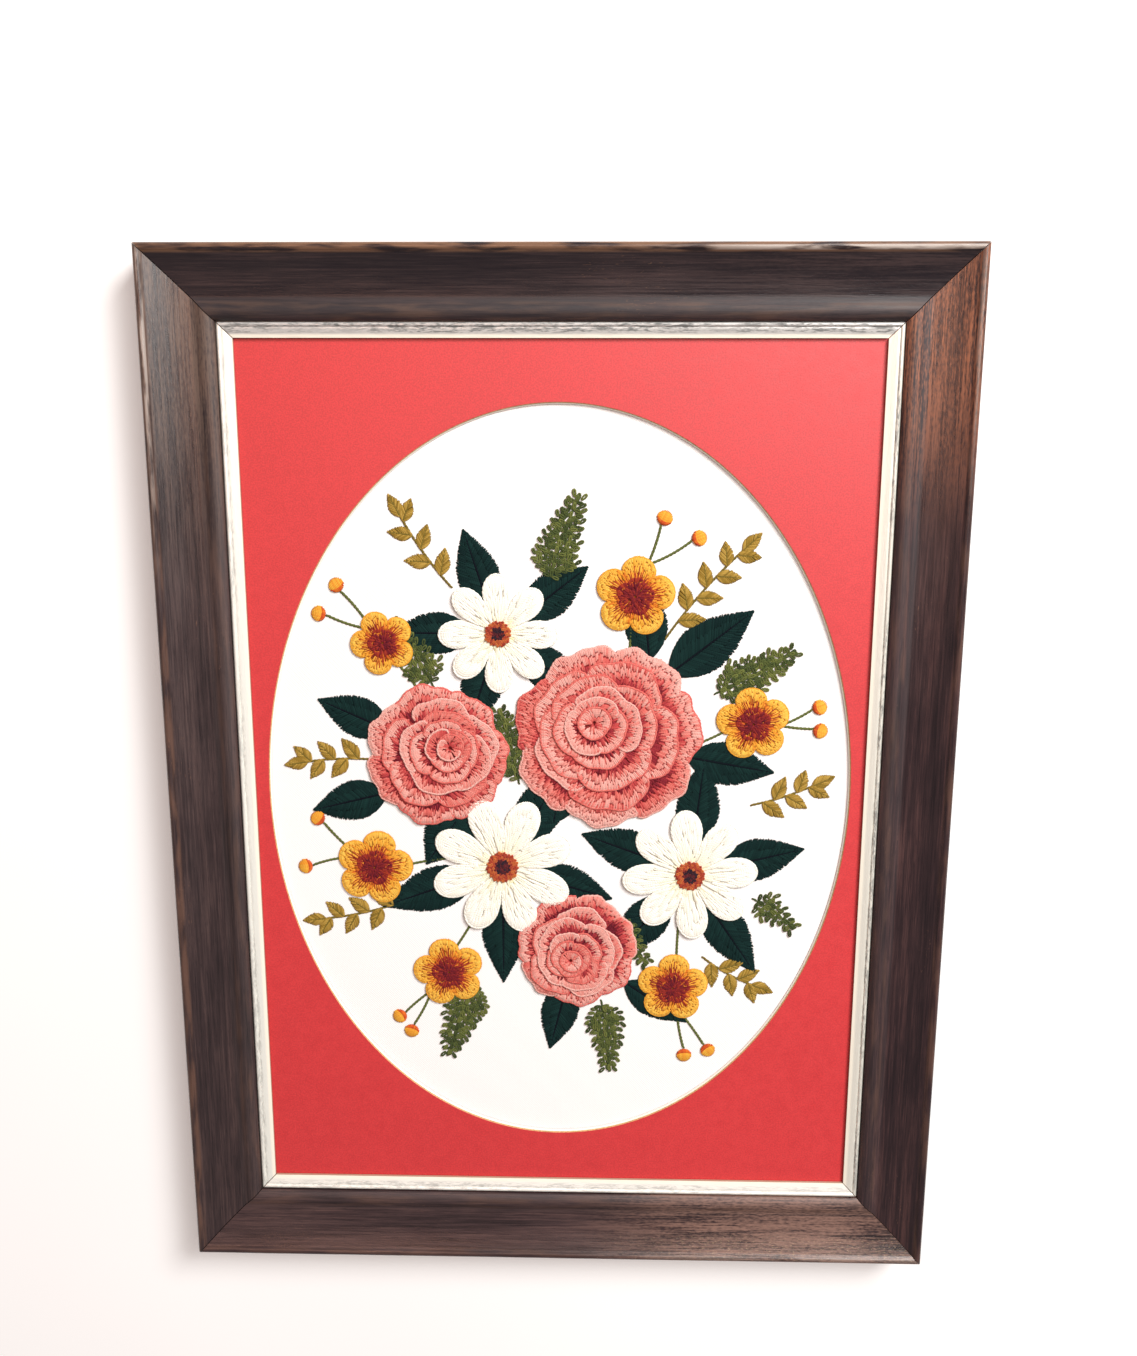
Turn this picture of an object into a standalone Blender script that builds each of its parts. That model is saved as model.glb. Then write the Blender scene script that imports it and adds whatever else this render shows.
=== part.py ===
"""Framed crewel embroidery panel, lying on its back with the picture facing up.

A mitred wood frame with a silvered slip holds a card mat with an oval window, the embroidered ground
cloth and a plain backing board, in that order from the front. The embroidery is low relief on the cloth.
Lengths are metres. X runs across the picture, Y up the picture and Z out of its face; the origin is the
middle of the frame's back. In a section, the first number is the distance in from the frame's outer edge
and the second is the height above its back.
"""
import math
from collections import namedtuple

import bmesh
import bpy
from mathutils import Matrix

MM = 0.001

# Frame
FRAME_W = 0.312
FRAME_H = 0.417
FRAME_DEPTH = 0.020
FIT_GAP = 0.0003

# Wood moulding: a round bead outside, a hollow face that falls inwards, a soft cove up to a round shoulder inside
RAIL_W = 0.027
RAIL_BACK_W = 0.025
REBATE_HEIGHT = 0.0118
BEAD_R = 0.0016
BEAD_END = 35
BEAD_STEPS = 8
HOLLOW_START = (0.0033, 0.0189)
HOLLOW_END = (0.0177, 0.01395)
HOLLOW_SAG = 0.0006
HOLLOW_STEPS = 12
COVE_R = 0.006
COVE_RISE = 24.5
COVE_STEPS = 5
SHOULDER_R = 0.0046
SHOULDER_STEPS = 9
SHARP_ANGLE = 32

# Silvered slip, whose flange sits under the wood's nose
SLIP_BOTTOM = 0.0102
SLIP_SHOWN_W = 0.0057
SLIP_BEAD_R = 0.0009
SLIP_BEAD_END = 20
SLIP_BEAD_STEPS = 8
SLIP_BEAD_TOP = 0.0128
SLIP_SLOPE_START = 0.0123
SLIP_SLOPE_END = 0.0114

# Layers in the rebate, from the front
MAT_T = 0.0014
CLOTH_T = 0.0010
BOARD_T = 0.0030
OVAL_W = 0.234
OVAL_H = 0.305
OVAL_Y = -0.001
OVAL_STEPS = 120

# Embroidery relief above the cloth
ROOT_DEPTH = 0.0005
LEAF_RISE = 0.0003
BLOOM_RISE = 0.0005
TIER_RISE = 0.0003
LEAF_OVERLAP_RISE = 0.00001
BLOOM_OVERLAP_RISE = 0.00002
LEAF_STEPS = 8
LEAF_SWELL = 0.8
MERGE_DISTANCE = 1e-6

LAYER_W = FRAME_W - 2 * (RAIL_BACK_W + FIT_GAP)
LAYER_H = FRAME_H - 2 * (RAIL_BACK_W + FIT_GAP)
MAT_TOP = SLIP_BOTTOM - FIT_GAP
CLOTH_TOP = MAT_TOP - MAT_T - FIT_GAP
BOARD_TOP = CLOTH_TOP - CLOTH_T - FIT_GAP

# A bloom's petal count, points for each petal, how deep its outline is cut between petals and how blunt the
# petals are, for the outline r = radius * (1 - cut + cut * |cos(petals * angle / 2)| ** bluntness)
Petals = namedtuple("Petals", "petals steps cut bluntness tiers")
BLOOM_KINDS = {
    "coral": Petals(7, 6, 0.10, 0.6, (1.0, 0.70, 0.38)),
    "white": Petals(8, 6, 0.52, 0.5, (1.0, 0.22)),
    "gold": Petals(5, 7, 0.32, 0.6, (1.0, 0.45)),
}

# Places in millimetres from the middle of the oval, turns in degrees
Bloom = namedtuple("Bloom", "kind x y radius turn")
BLOOMS = (
    Bloom("coral", 20, 22, 38, 8),
    Bloom("coral", -49, 14, 29, 0),
    Bloom("coral", 8, -69, 25, 15),
    Bloom("white", -23, -33, 30, 20),
    Bloom("white", 54, -36, 28, 50),
    Bloom("white", -24, 64, 24, 0),
    Bloom("gold", 30, 79, 16, 10),
    Bloom("gold", 78, 28, 15, 25),
    Bloom("gold", -76, -34, 16, 5),
    Bloom("gold", -46, -80, 15, 30),
    Bloom("gold", 48, -86, 15, 15),
    Bloom("gold", -70, 60, 13, 40),
)

# Each leaf starts at its stalk end and points along its turn
Leaf = namedtuple("Leaf", "x y length width turn")
LEAVES = (
    Leaf(-38, -8, 30, 20, -124),
    Leaf(44, 48, 42, 20, 38),
    Leaf(36, 54, 32, 17, 96),
    Leaf(52, 14, 36, 18, -10),
    Leaf(28, -84, 32, 15, -34),
    Leaf(4, -84, 32, 16, -104),
    Leaf(-68, 24, 32, 17, 156),
    Leaf(-70, -2, 32, 17, -166),
    Leaf(-2, -14, 34, 20, 80),
    Leaf(-16, -24, 40, 19, 62),
    Leaf(-30, -24, 32, 18, 128),
    Leaf(-34, -37, 42, 19, 200),
    Leaf(-23, -45, 40, 18, -90),
    Leaf(-12, -37, 36, 18, -16),
    Leaf(66, -33, 36, 18, 14),
    Leaf(55, -24, 38, 18, 84),
    Leaf(43, -31, 36, 18, 160),
    Leaf(46, -45, 36, 18, -130),
    Leaf(60, -46, 40, 18, -56),
    Leaf(-15, 70, 34, 17, 38),
    Leaf(-27, 73, 34, 17, 108),
    Leaf(-34, 64, 34, 17, 180),
    Leaf(-27, 54, 28, 17, -108),
    Leaf(-15, 58, 32, 17, -38),
)

Finish = namedtuple("Finish", "colour roughness metallic")
FINISHES = {
    "walnut": Finish((0.055, 0.030, 0.024), 0.38, 0.0),
    "silver": Finish((0.78, 0.75, 0.68), 0.32, 1.0),
    "coral_card": Finish((0.78, 0.060, 0.065), 0.85, 0.0),
    "white_cloth": Finish((0.90, 0.88, 0.84), 0.90, 0.0),
    "brown_board": Finish((0.30, 0.20, 0.12), 0.90, 0.0),
}


def clear_scene():
    """Remove whatever the scene holds."""
    for obj in list(bpy.data.objects):
        bpy.data.objects.remove(obj, do_unlink=True)


def new_collection(name):
    """Return a new collection linked to the scene."""
    collection = bpy.data.collections.new(name)
    bpy.context.scene.collection.children.link(collection)
    return collection


def new_material(name):
    """Return a Principled material with the named finish."""
    finish = FINISHES[name]
    material = bpy.data.materials.new(name)
    material.use_nodes = True
    shader = material.node_tree.nodes["Principled BSDF"]
    shader.inputs["Base Color"].default_value = (*finish.colour, 1.0)
    shader.inputs["Roughness"].default_value = finish.roughness
    shader.inputs["Metallic"].default_value = finish.metallic
    material.diffuse_color = (*finish.colour, 1.0)
    return material


def arc(centre, radius, start, end, steps):
    """Return points on an arc, with its angles in degrees."""
    points = []
    for i in range(steps + 1):
        angle = math.radians(start + (end - start) * i / steps)
        points.append((centre[0] + radius * math.cos(angle), centre[1] + radius * math.sin(angle)))
    return points


def plate(name, loops, thickness):
    """Return a mesh of a flat outline with its holes, extruded evenly about local Z = 0."""
    curve = bpy.data.curves.new(name, "CURVE")
    curve.dimensions = "2D"
    curve.fill_mode = "BOTH"
    curve.extrude = thickness / 2
    for loop in loops:
        spline = curve.splines.new("POLY")
        spline.points.add(len(loop) - 1)
        for point, (x, y) in zip(spline.points, loop):
            point.co = (x, y, 0.0, 1.0)
        spline.use_cyclic_u = True
    outline = bpy.data.objects.new(name, curve)
    bpy.context.scene.collection.objects.link(outline)
    graph = bpy.context.evaluated_depsgraph_get()
    mesh = bpy.data.meshes.new_from_object(outline.evaluated_get(graph))
    bpy.data.objects.remove(outline, do_unlink=True)
    bpy.data.curves.remove(curve)
    solid = bmesh.new()
    solid.from_mesh(mesh)
    bmesh.ops.remove_doubles(solid, verts=solid.verts, dist=MERGE_DISTANCE)
    bmesh.ops.recalc_face_normals(solid, faces=solid.faces)
    solid.to_mesh(mesh)
    solid.free()
    mesh.name = name
    return mesh


def add_object(name, mesh, collection, material=None, parent=None):
    """Link an object of the mesh, with its material and parent."""
    obj = bpy.data.objects.new(name, mesh)
    collection.objects.link(obj)
    if material and not mesh.materials:
        mesh.materials.append(material)
    obj.parent = parent
    return obj


def rectangle(width, height):
    """Return the corners of a rectangle about the origin."""
    x, y = width / 2, height / 2
    return [(-x, -y), (x, -y), (x, y), (-x, y)]


def ellipse(width, height, steps):
    """Return points round an ellipse about the origin."""
    turns = [2 * math.pi * i / steps for i in range(steps)]
    return [(width / 2 * math.cos(t), height / 2 * math.sin(t)) for t in turns]


def rail_section():
    """Return the wood moulding's section, from its outer back corner round by the front.

    The cove is an arc that leaves the hollow along its slope, and the shoulder is one that leaves the cove along
    its own.
    """
    points = [(0.0, 0.0)]
    points += arc((BEAD_R, FRAME_DEPTH - BEAD_R), BEAD_R, 180, BEAD_END, BEAD_STEPS)
    run = HOLLOW_END[0] - HOLLOW_START[0]
    rise = HOLLOW_END[1] - HOLLOW_START[1]
    for i in range(HOLLOW_STEPS + 1):
        t = i / HOLLOW_STEPS
        sag = HOLLOW_SAG * math.sin(math.pi * t)
        points.append((HOLLOW_START[0] + run * t, HOLLOW_START[1] + rise * t - sag))
    fall = math.atan2(-rise - HOLLOW_SAG * math.pi, run)
    cove = (HOLLOW_END[0] + COVE_R * math.sin(fall), HOLLOW_END[1] + COVE_R * math.cos(fall))
    points += arc(cove, COVE_R, -90 - math.degrees(fall), -90 + COVE_RISE, COVE_STEPS)[1:]
    lean = math.radians(COVE_RISE)
    apart = COVE_R + SHOULDER_R
    shoulder = (cove[0] + apart * math.sin(lean), cove[1] - apart * math.cos(lean))
    end = math.degrees(math.acos((RAIL_W - shoulder[0]) / SHOULDER_R))
    points += arc(shoulder, SHOULDER_R, 90 + COVE_RISE, end, SHOULDER_STEPS)[1:]
    points += [(RAIL_W, REBATE_HEIGHT), (RAIL_BACK_W, REBATE_HEIGHT), (RAIL_BACK_W, 0.0)]
    return points


def slip_section():
    """Return the slip's section: a flange, a small bead beside the wood and a face that slopes to the mat."""
    back = RAIL_BACK_W + FIT_GAP
    front = RAIL_W + FIT_GAP
    flange_top = REBATE_HEIGHT - FIT_GAP
    sight = RAIL_W + FIT_GAP + SLIP_SHOWN_W
    bead_centre = (front + SLIP_BEAD_R, SLIP_BEAD_TOP - SLIP_BEAD_R)
    points = [(back, SLIP_BOTTOM), (back, flange_top), (front, flange_top)]
    points += arc(bead_centre, SLIP_BEAD_R, 180, SLIP_BEAD_END, SLIP_BEAD_STEPS)
    points += [(front + 2 * SLIP_BEAD_R + FIT_GAP, SLIP_SLOPE_START), (sight, SLIP_SLOPE_END), (sight, SLIP_BOTTOM)]
    return points


def mitred_bar(name, section, length):
    """Extrude a section along a bar and draw its ends back to 45 degree mitres.

    The bar runs along local X, local Y is the distance in from the frame's outer edge and Z is up.
    """
    mesh = plate(name, [section], length)
    mitre_clearance = FIT_GAP / 2 * math.sqrt(2)
    for vertex in mesh.vertices:
        inward, height, along = vertex.co
        reach = length / 2 - inward - mitre_clearance
        vertex.co = (math.copysign(reach, along), inward, height)
    mesh.shade_smooth()
    mesh.set_sharp_from_angle(angle=math.radians(SHARP_ANGLE))
    return mesh


def add_mitred_set(kind, section, collection, material, parent):
    """Place four bars round the frame, each turned so that its own Y points inwards."""
    across = mitred_bar(f"{kind}_across", section, FRAME_W)
    upright = mitred_bar(f"{kind}_upright", section, FRAME_H)
    places = {
        "bottom": (across, (0.0, -FRAME_H / 2, 0.0), 0),
        "right": (upright, (FRAME_W / 2, 0.0, 0.0), 90),
        "top": (across, (0.0, FRAME_H / 2, 0.0), 180),
        "left": (upright, (-FRAME_W / 2, 0.0, 0.0), 270),
    }
    for side, (mesh, location, turn) in places.items():
        bar = add_object(f"{kind}_{side}", mesh, collection, material, parent)
        bar.location = location
        bar.rotation_euler[2] = math.radians(turn)


def add_layer(name, loops, top, thickness, collection, material, parent):
    """Add a flat layer of the rebate, hung from its top face."""
    layer = add_object(name, plate(name, loops, thickness), collection, material, parent)
    layer.location[2] = top - thickness / 2
    return layer


def add_mat(collection, material, parent):
    """Add the card mat, its oval window cut at 45 degrees so that the front edge is the wider."""
    oval = [(x, y + OVAL_Y) for x, y in ellipse(OVAL_W, OVAL_H, OVAL_STEPS)]
    mat = add_layer("mat", [rectangle(LAYER_W, LAYER_H), oval], MAT_TOP, MAT_T, collection, material, parent)
    corner = min(LAYER_W, LAYER_H) / 2
    for vertex in mat.data.vertices:
        on_oval = abs(vertex.co.x) < corner - MAT_T
        if on_oval and vertex.co.z > 0:
            x, y = vertex.co.x, vertex.co.y - OVAL_Y
            vertex.co.x = x * (1 + 2 * MAT_T / OVAL_W)
            vertex.co.y = y * (1 + 2 * MAT_T / OVAL_H) + OVAL_Y
    return mat


def bloom_outline(petals, radius, scale):
    """Return a bloom's scalloped outline at one tier."""
    count = petals.petals * petals.steps
    points = []
    for i in range(count):
        angle = 2 * math.pi * i / count
        lobe = abs(math.cos(petals.petals * angle / 2)) ** petals.bluntness
        reach = radius * scale * (1 - petals.cut + petals.cut * lobe)
        points.append((reach * math.cos(angle), reach * math.sin(angle)))
    return points


def leaf_outline(length, width):
    """Return a pointed leaf's outline along X, widest nearer its stalk."""
    upper = []
    for i in range(1, LEAF_STEPS):
        t = i / LEAF_STEPS
        upper.append((length * t, width / 2 * math.sin(math.pi * t ** LEAF_SWELL)))
    lower = [(x, -y) for x, y in reversed(upper)]
    return [(0.0, 0.0)] + upper + [(length, 0.0)] + lower


def add_relief(name, outline, place, turn, rise, collection):
    """Add a raised shape that is rooted in the cloth, to be joined to it."""
    mesh = plate(name, [outline], ROOT_DEPTH + rise)
    middle = CLOTH_TOP + (rise - ROOT_DEPTH) / 2
    x, y = place
    mesh.transform(Matrix.Translation((x * MM, y * MM + OVAL_Y, middle)) @ Matrix.Rotation(turn, 4, "Z"))
    relief = add_object(name, mesh, collection)
    relief.hide_render = True
    relief.display_type = "WIRE"


def add_embroidery_relief(collection):
    """Add every leaf and bloom as flat raised tiers, each later one a hair over the one before."""
    for i, leaf in enumerate(LEAVES):
        outline = leaf_outline(leaf.length * MM, leaf.width * MM)
        rise = LEAF_RISE + LEAF_OVERLAP_RISE * i
        add_relief(f"leaf_relief_{i}", outline, (leaf.x, leaf.y), math.radians(leaf.turn), rise, collection)
    for i, bloom in enumerate(BLOOMS):
        petals = BLOOM_KINDS[bloom.kind]
        half_petal = math.pi / petals.petals
        for tier, scale in enumerate(petals.tiers):
            outline = bloom_outline(petals, bloom.radius * MM, scale)
            turn = math.radians(bloom.turn) + half_petal * tier
            rise = BLOOM_RISE + TIER_RISE * tier + BLOOM_OVERLAP_RISE * i
            add_relief(f"bloom_relief_{i}_{tier}", outline, (bloom.x, bloom.y), turn, rise, collection)


def add_cloth(collection, reliefs, material, parent):
    """Add the ground cloth, one sheet stretched flat, with the embroidery joined to its face."""
    sheet = [rectangle(LAYER_W, LAYER_H)]
    cloth = add_layer("ground_cloth", sheet, CLOTH_TOP, CLOTH_T, collection, material, parent)
    union = cloth.modifiers.new("embroidery", "BOOLEAN")
    union.operation = "UNION"
    union.solver = "EXACT"
    union.operand_type = "COLLECTION"
    union.collection = reliefs
    return cloth


def build():
    """Build the frame, its slip and the layers that it holds."""
    clear_scene()
    panel = new_collection("framed_crewel_panel")
    cutters = new_collection("embroidery_relief")
    materials = {name: new_material(name) for name in FINISHES}
    root = bpy.data.objects.new("panel_root", None)
    panel.objects.link(root)
    add_mitred_set("rail", rail_section(), panel, materials["walnut"], root)
    add_mitred_set("slip", slip_section(), panel, materials["silver"], root)
    add_mat(panel, materials["coral_card"], root)
    add_embroidery_relief(cutters)
    add_cloth(panel, cutters, materials["white_cloth"], root)
    board = [rectangle(LAYER_W, LAYER_H)]
    add_layer("backing_board", board, BOARD_TOP, BOARD_T, panel, materials["brown_board"], root)


build()
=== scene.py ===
"""Framed crewel embroidery panel, lying face up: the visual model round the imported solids.

The rails, slips and mat are worked out again with finer surfaces in the same places as their solids. The
embroidery, which is low relief in the solids, becomes separate stitches of yarn on a thin woven cloth.
Motifs are placed in millimetres from the middle of the oval window, and every mesh is in metres.
"""

import logging
import math
from abc import ABC, abstractmethod
from collections.abc import Callable, Sequence
from dataclasses import dataclass, field
from enum import Enum
from functools import partial

import bpy
import numpy as np
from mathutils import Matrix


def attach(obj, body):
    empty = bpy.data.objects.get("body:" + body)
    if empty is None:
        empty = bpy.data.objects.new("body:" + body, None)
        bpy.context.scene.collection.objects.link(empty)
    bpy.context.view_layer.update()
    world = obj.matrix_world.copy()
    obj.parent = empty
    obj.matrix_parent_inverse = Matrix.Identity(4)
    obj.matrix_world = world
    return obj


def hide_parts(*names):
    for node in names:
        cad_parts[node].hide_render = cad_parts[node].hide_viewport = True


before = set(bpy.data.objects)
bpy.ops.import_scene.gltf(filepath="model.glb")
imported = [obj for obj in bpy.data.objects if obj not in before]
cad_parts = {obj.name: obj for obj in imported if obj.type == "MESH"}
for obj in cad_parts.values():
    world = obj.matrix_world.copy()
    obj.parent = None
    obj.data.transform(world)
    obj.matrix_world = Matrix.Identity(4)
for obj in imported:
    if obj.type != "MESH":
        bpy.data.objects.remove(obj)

LOG = logging.getLogger("panel")
MM = 0.001
SEED = 20815
Colour = tuple[float, float, float]
Array = np.ndarray

# Solids, in millimetres
FRAME_W, FRAME_H = 312.0, 417.0
FIT_GAP = 0.3
MITRE_CLEARANCE = FIT_GAP / 2 * math.sqrt(2)
LAYER_W, LAYER_H = 261.4, 366.4
OVAL_W, OVAL_H, OVAL_Y = 234.0, 305.0, -1.0
MAT_TOP, MAT_T = 9.9, 1.4
CLOTH_TOP = 8.2

# A stitch's stations, as shares of its length, how full the yarn is at each, and the faces across it
STITCH_AT = np.array([0.0, 0.16, 0.5, 0.84, 1.0])
STITCH_SWELL = np.array([0.0, 0.85, 1.0, 0.85, 0.0])
YARN_FACES = 3


class Side(Enum):
    """The four sides of the frame, with the turn of a bar that lies along each."""

    BOTTOM = 0
    RIGHT = 90
    TOP = 180
    LEFT = 270

    def place(self, along: Array, inward: Array, height: Array) -> Array:
        """Turn a bar's own coordinates about the frame's middle.

        Args:
            along: distance along the bar from its middle.
            inward: distance in from the frame's outer edge.
            height: height above the back.

        Returns:
            Points, in the units given.
        """
        reach = (FRAME_H if self in (Side.BOTTOM, Side.TOP) else FRAME_W) / 2
        turn = math.radians(self.value)
        across = inward - reach
        x = along * math.cos(turn) - across * math.sin(turn)
        y = along * math.sin(turn) + across * math.cos(turn)
        return np.stack([x, y, height], axis=-1)

    @property
    def length(self) -> float:
        """Outer length of the bar on this side."""
        return FRAME_W if self in (Side.BOTTOM, Side.TOP) else FRAME_H


# Surfaces


@dataclass
class Surface:
    """Points and faces of one mesh, held as whole arrays."""

    points: Array
    corners: Array
    sizes: Array
    uv: Array
    values: dict[str, Array] = field(default_factory=dict)
    slots: Array | None = None

    @staticmethod
    def join(parts: Sequence["Surface"]) -> "Surface":
        """Return one surface holding all the parts, which share their value names."""
        starts = np.cumsum([0] + [len(p.points) for p in parts[:-1]])
        return Surface(
            np.concatenate([p.points for p in parts]),
            np.concatenate([p.corners + start for p, start in zip(parts, starts)]),
            np.concatenate([p.sizes for p in parts]),
            np.concatenate([p.uv for p in parts]),
            {name: np.concatenate([p.values[name] for p in parts]) for name in parts[0].values},
            None if parts[0].slots is None else np.concatenate([p.slots for p in parts]),
        )

    def volume(self) -> float:
        """Signed volume of a closed surface, by fans of tetrahedra from the origin."""
        starts = np.cumsum(self.sizes) - self.sizes
        total = 0.0
        for size in np.unique(self.sizes):
            rows = starts[self.sizes == size]
            loops = self.points[self.corners[rows[:, None] + np.arange(size)]]
            fans = np.cross(loops[:, 1:-1], loops[:, 2:])
            total += float(np.einsum("ik,ijk->", loops[:, 0], fans))
        return total / 6

    def outward(self) -> "Surface":
        """Turn the quads of a closed surface round if they face inwards, and return it."""
        if self.volume() < 0:
            self.corners = self.corners.reshape(-1, 4)[:, ::-1].reshape(-1)
            self.uv = self.uv.reshape(-1, 4, 2)[:, ::-1].reshape(-1, 2)
        return self

    def object(
        self, name: str, materials: Sequence[bpy.types.Material], sharp: float | None = None,
    ) -> bpy.types.Object:
        """Make the mesh and its object at the origin.

        Args:
            name: name of the object and its mesh.
            materials: one material for each slot.
            sharp: angle in degrees past which an edge is sharp, or None for a mesh that is smooth all over.

        Returns:
            The object, riding on the root body.
        """
        mesh = bpy.data.meshes.new(name)
        mesh.vertices.add(len(self.points))
        mesh.vertices.foreach_set("co", (self.points * MM).astype(np.float32).ravel())
        mesh.loops.add(len(self.corners))
        mesh.loops.foreach_set("vertex_index", self.corners.astype(np.int32))
        mesh.polygons.add(len(self.sizes))
        mesh.polygons.foreach_set("loop_start", (np.cumsum(self.sizes) - self.sizes).astype(np.int32))
        mesh.polygons.foreach_set("use_smooth", np.ones(len(self.sizes), dtype=bool))
        if self.slots is not None:
            mesh.polygons.foreach_set("material_index", self.slots.astype(np.int32))
        layer = mesh.uv_layers.new(name="yarn")
        layer.data.foreach_set("uv", self.uv.astype(np.float32).ravel())
        for value, numbers in self.values.items():
            attribute = mesh.attributes.new(value, "FLOAT", "POINT")
            attribute.data.foreach_set("value", numbers.astype(np.float32))
        for material in materials:
            mesh.materials.append(material)
        mesh.update(calc_edges=True)
        if sharp is not None:
            mesh.set_sharp_from_angle(angle=math.radians(sharp))
        obj = bpy.data.objects.new(name, mesh)
        bpy.context.scene.collection.objects.link(obj)
        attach(obj, "root")
        LOG.info("%s: %d faces", name, len(self.sizes))
        return obj

    def stand_in(
        self, name: str, materials: Sequence[bpy.types.Material], sharp: float, node: str, slot: str,
    ) -> bpy.types.Object:
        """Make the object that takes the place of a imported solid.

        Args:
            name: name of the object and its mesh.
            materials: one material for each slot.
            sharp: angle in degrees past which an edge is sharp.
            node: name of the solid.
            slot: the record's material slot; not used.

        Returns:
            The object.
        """
        obj = self.object(name, materials, sharp)
        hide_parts(node)
        return obj


def grid(rows: int, columns: int, wrap_rows: bool = False, wrap_columns: bool = False) -> Array:
    """Return the quads of a grid of points stored row by row, each as four point numbers.

    Args:
        rows: number of rows.
        columns: number of columns.
        wrap_rows: whether the last row joins the first.
        wrap_columns: whether the last column joins the first.

    Returns:
        Array of shape (quads, 4), turning anticlockwise when rows go right and columns go up.
    """
    i = np.arange(rows if wrap_rows else rows - 1)[:, None]
    j = np.arange(columns if wrap_columns else columns - 1)[None, :]
    here, there = i * columns, (i + 1) % rows * columns
    j_next = (j + 1) % columns
    quads = np.broadcast_arrays(here + j, there + j, there + j_next, here + j_next)
    return np.stack(quads, axis=-1).reshape(-1, 4)


def along_path(paths: Array) -> tuple[Array, Array]:
    """Return each path's distance from its start and its level sideways direction.

    Args:
        paths: points of shape (paths, stations, 3).

    Returns:
        Distances of shape (paths, stations) and unit directions to the left of shape (paths, stations, 2).
    """
    steps = np.linalg.norm(np.diff(paths, axis=1), axis=-1)
    distance = np.concatenate([np.zeros((len(paths), 1)), np.cumsum(steps, axis=1)], axis=1)
    tangent = np.gradient(paths[..., :2], axis=1)
    tangent /= np.maximum(np.linalg.norm(tangent, axis=-1, keepdims=True), 1e-6)
    return distance, np.stack([-tangent[..., 1], tangent[..., 0]], axis=-1)


def lay_yarn(paths: Array, shade: Array, width: float, crown: float, profile: Array = STITCH_SWELL) -> Surface:
    """Lay half-round yarn along many paths at once.

    A point at angle b over the yarn stands half the width times cos b to the left of its path, and the crown's
    height times sin b above it. Both follow the profile, which is 1 in the open and falls at a tucked end.

    Args:
        paths: points of shape (paths, stations, 3), in millimetres.
        shade: tone of each path's yarn, held between 0 and 1.
        width: full width of the yarn.
        crown: height of the yarn.
        profile: share of the full size at each station.

    Returns:
        The surface, with its distance along and its place across as UV and its shade and tuck as values.
    """
    count, stations = paths.shape[:2]
    ring = YARN_FACES + 1
    distance, left = along_path(paths)
    angle = np.linspace(math.pi, 0, ring)
    half = width / 2 * (0.45 + 0.55 * profile)
    offset = half[:, None] * np.cos(angle)
    points = np.empty((count, stations, ring, 3))
    points[..., :2] = paths[:, :, None, :2] + offset[..., None] * left[:, :, None, :]
    points[..., 2] = paths[..., 2:3] + (crown * profile)[:, None] * np.sin(angle)
    first = (np.arange(count) * stations * ring)[:, None, None]
    corners = (grid(stations, ring)[None] + first).reshape(-1)
    uv = np.stack(np.broadcast_arrays(distance[..., None], np.linspace(0, 1, ring)), axis=-1).reshape(-1, 2)
    shape = (count, stations, ring)
    values = {
        "shade": np.broadcast_to(np.clip(shade, 0, 1)[:, None, None], shape).reshape(-1),
        "tuck": np.broadcast_to((1 - profile)[None, :, None], shape).reshape(-1),
    }
    return Surface(points.reshape(-1, 3), corners, np.full(len(corners) // 4, 4), uv[corners], values)


# Finishes


class Value:
    """A number socket whose arithmetic adds Math nodes to its tree."""

    def __init__(self, nodes: "Nodes", socket: bpy.types.NodeSocket) -> None:
        """Wrap a socket of the given tree."""
        self.nodes, self.socket = nodes, socket

    def _math(self, operation: str, *terms: "Value | float") -> "Value":
        """Return the result of one Math node."""
        made = self.nodes.add("ShaderNodeMath", {"operation": operation}, dict(enumerate(terms)))
        return Value(self.nodes, made.outputs[0])

    def __add__(self, other: "Value | float") -> "Value":
        """Sum."""
        return self._math("ADD", self, other)

    __radd__ = __add__

    def __mul__(self, other: "Value | float") -> "Value":
        """Product."""
        return self._math("MULTIPLY", self, other)

    __rmul__ = __mul__

    def __sub__(self, other: "Value | float") -> "Value":
        """Difference."""
        return self._math("SUBTRACT", self, other)

    def __rsub__(self, other: float) -> "Value":
        """Difference from a number."""
        return self._math("SUBTRACT", other, self)

    def __truediv__(self, other: "Value | float") -> "Value":
        """Quotient."""
        return self._math("DIVIDE", self, other)

    def sine(self) -> "Value":
        """Sine, in radians."""
        return self._math("SINE", self)

    def size(self) -> "Value":
        """Absolute value."""
        return self._math("ABSOLUTE", self)

    def between(self, low: float, high: float) -> "Value":
        """Return a smooth step from 0 at low to 1 at high; low may be the larger."""
        made = self.nodes.add(
            "ShaderNodeMapRange",
            {"interpolation_type": "SMOOTHSTEP"},
            {"Value": self, "From Min": low, "From Max": high},
        )
        return Value(self.nodes, made.outputs["Result"])

    def band(self, start: float, end: float, soft: float) -> "Value":
        """Return 1 from start to end, and 0 beyond soft edges outside them."""
        return self.between(start - soft, start) * self.between(end + soft, end)


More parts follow.
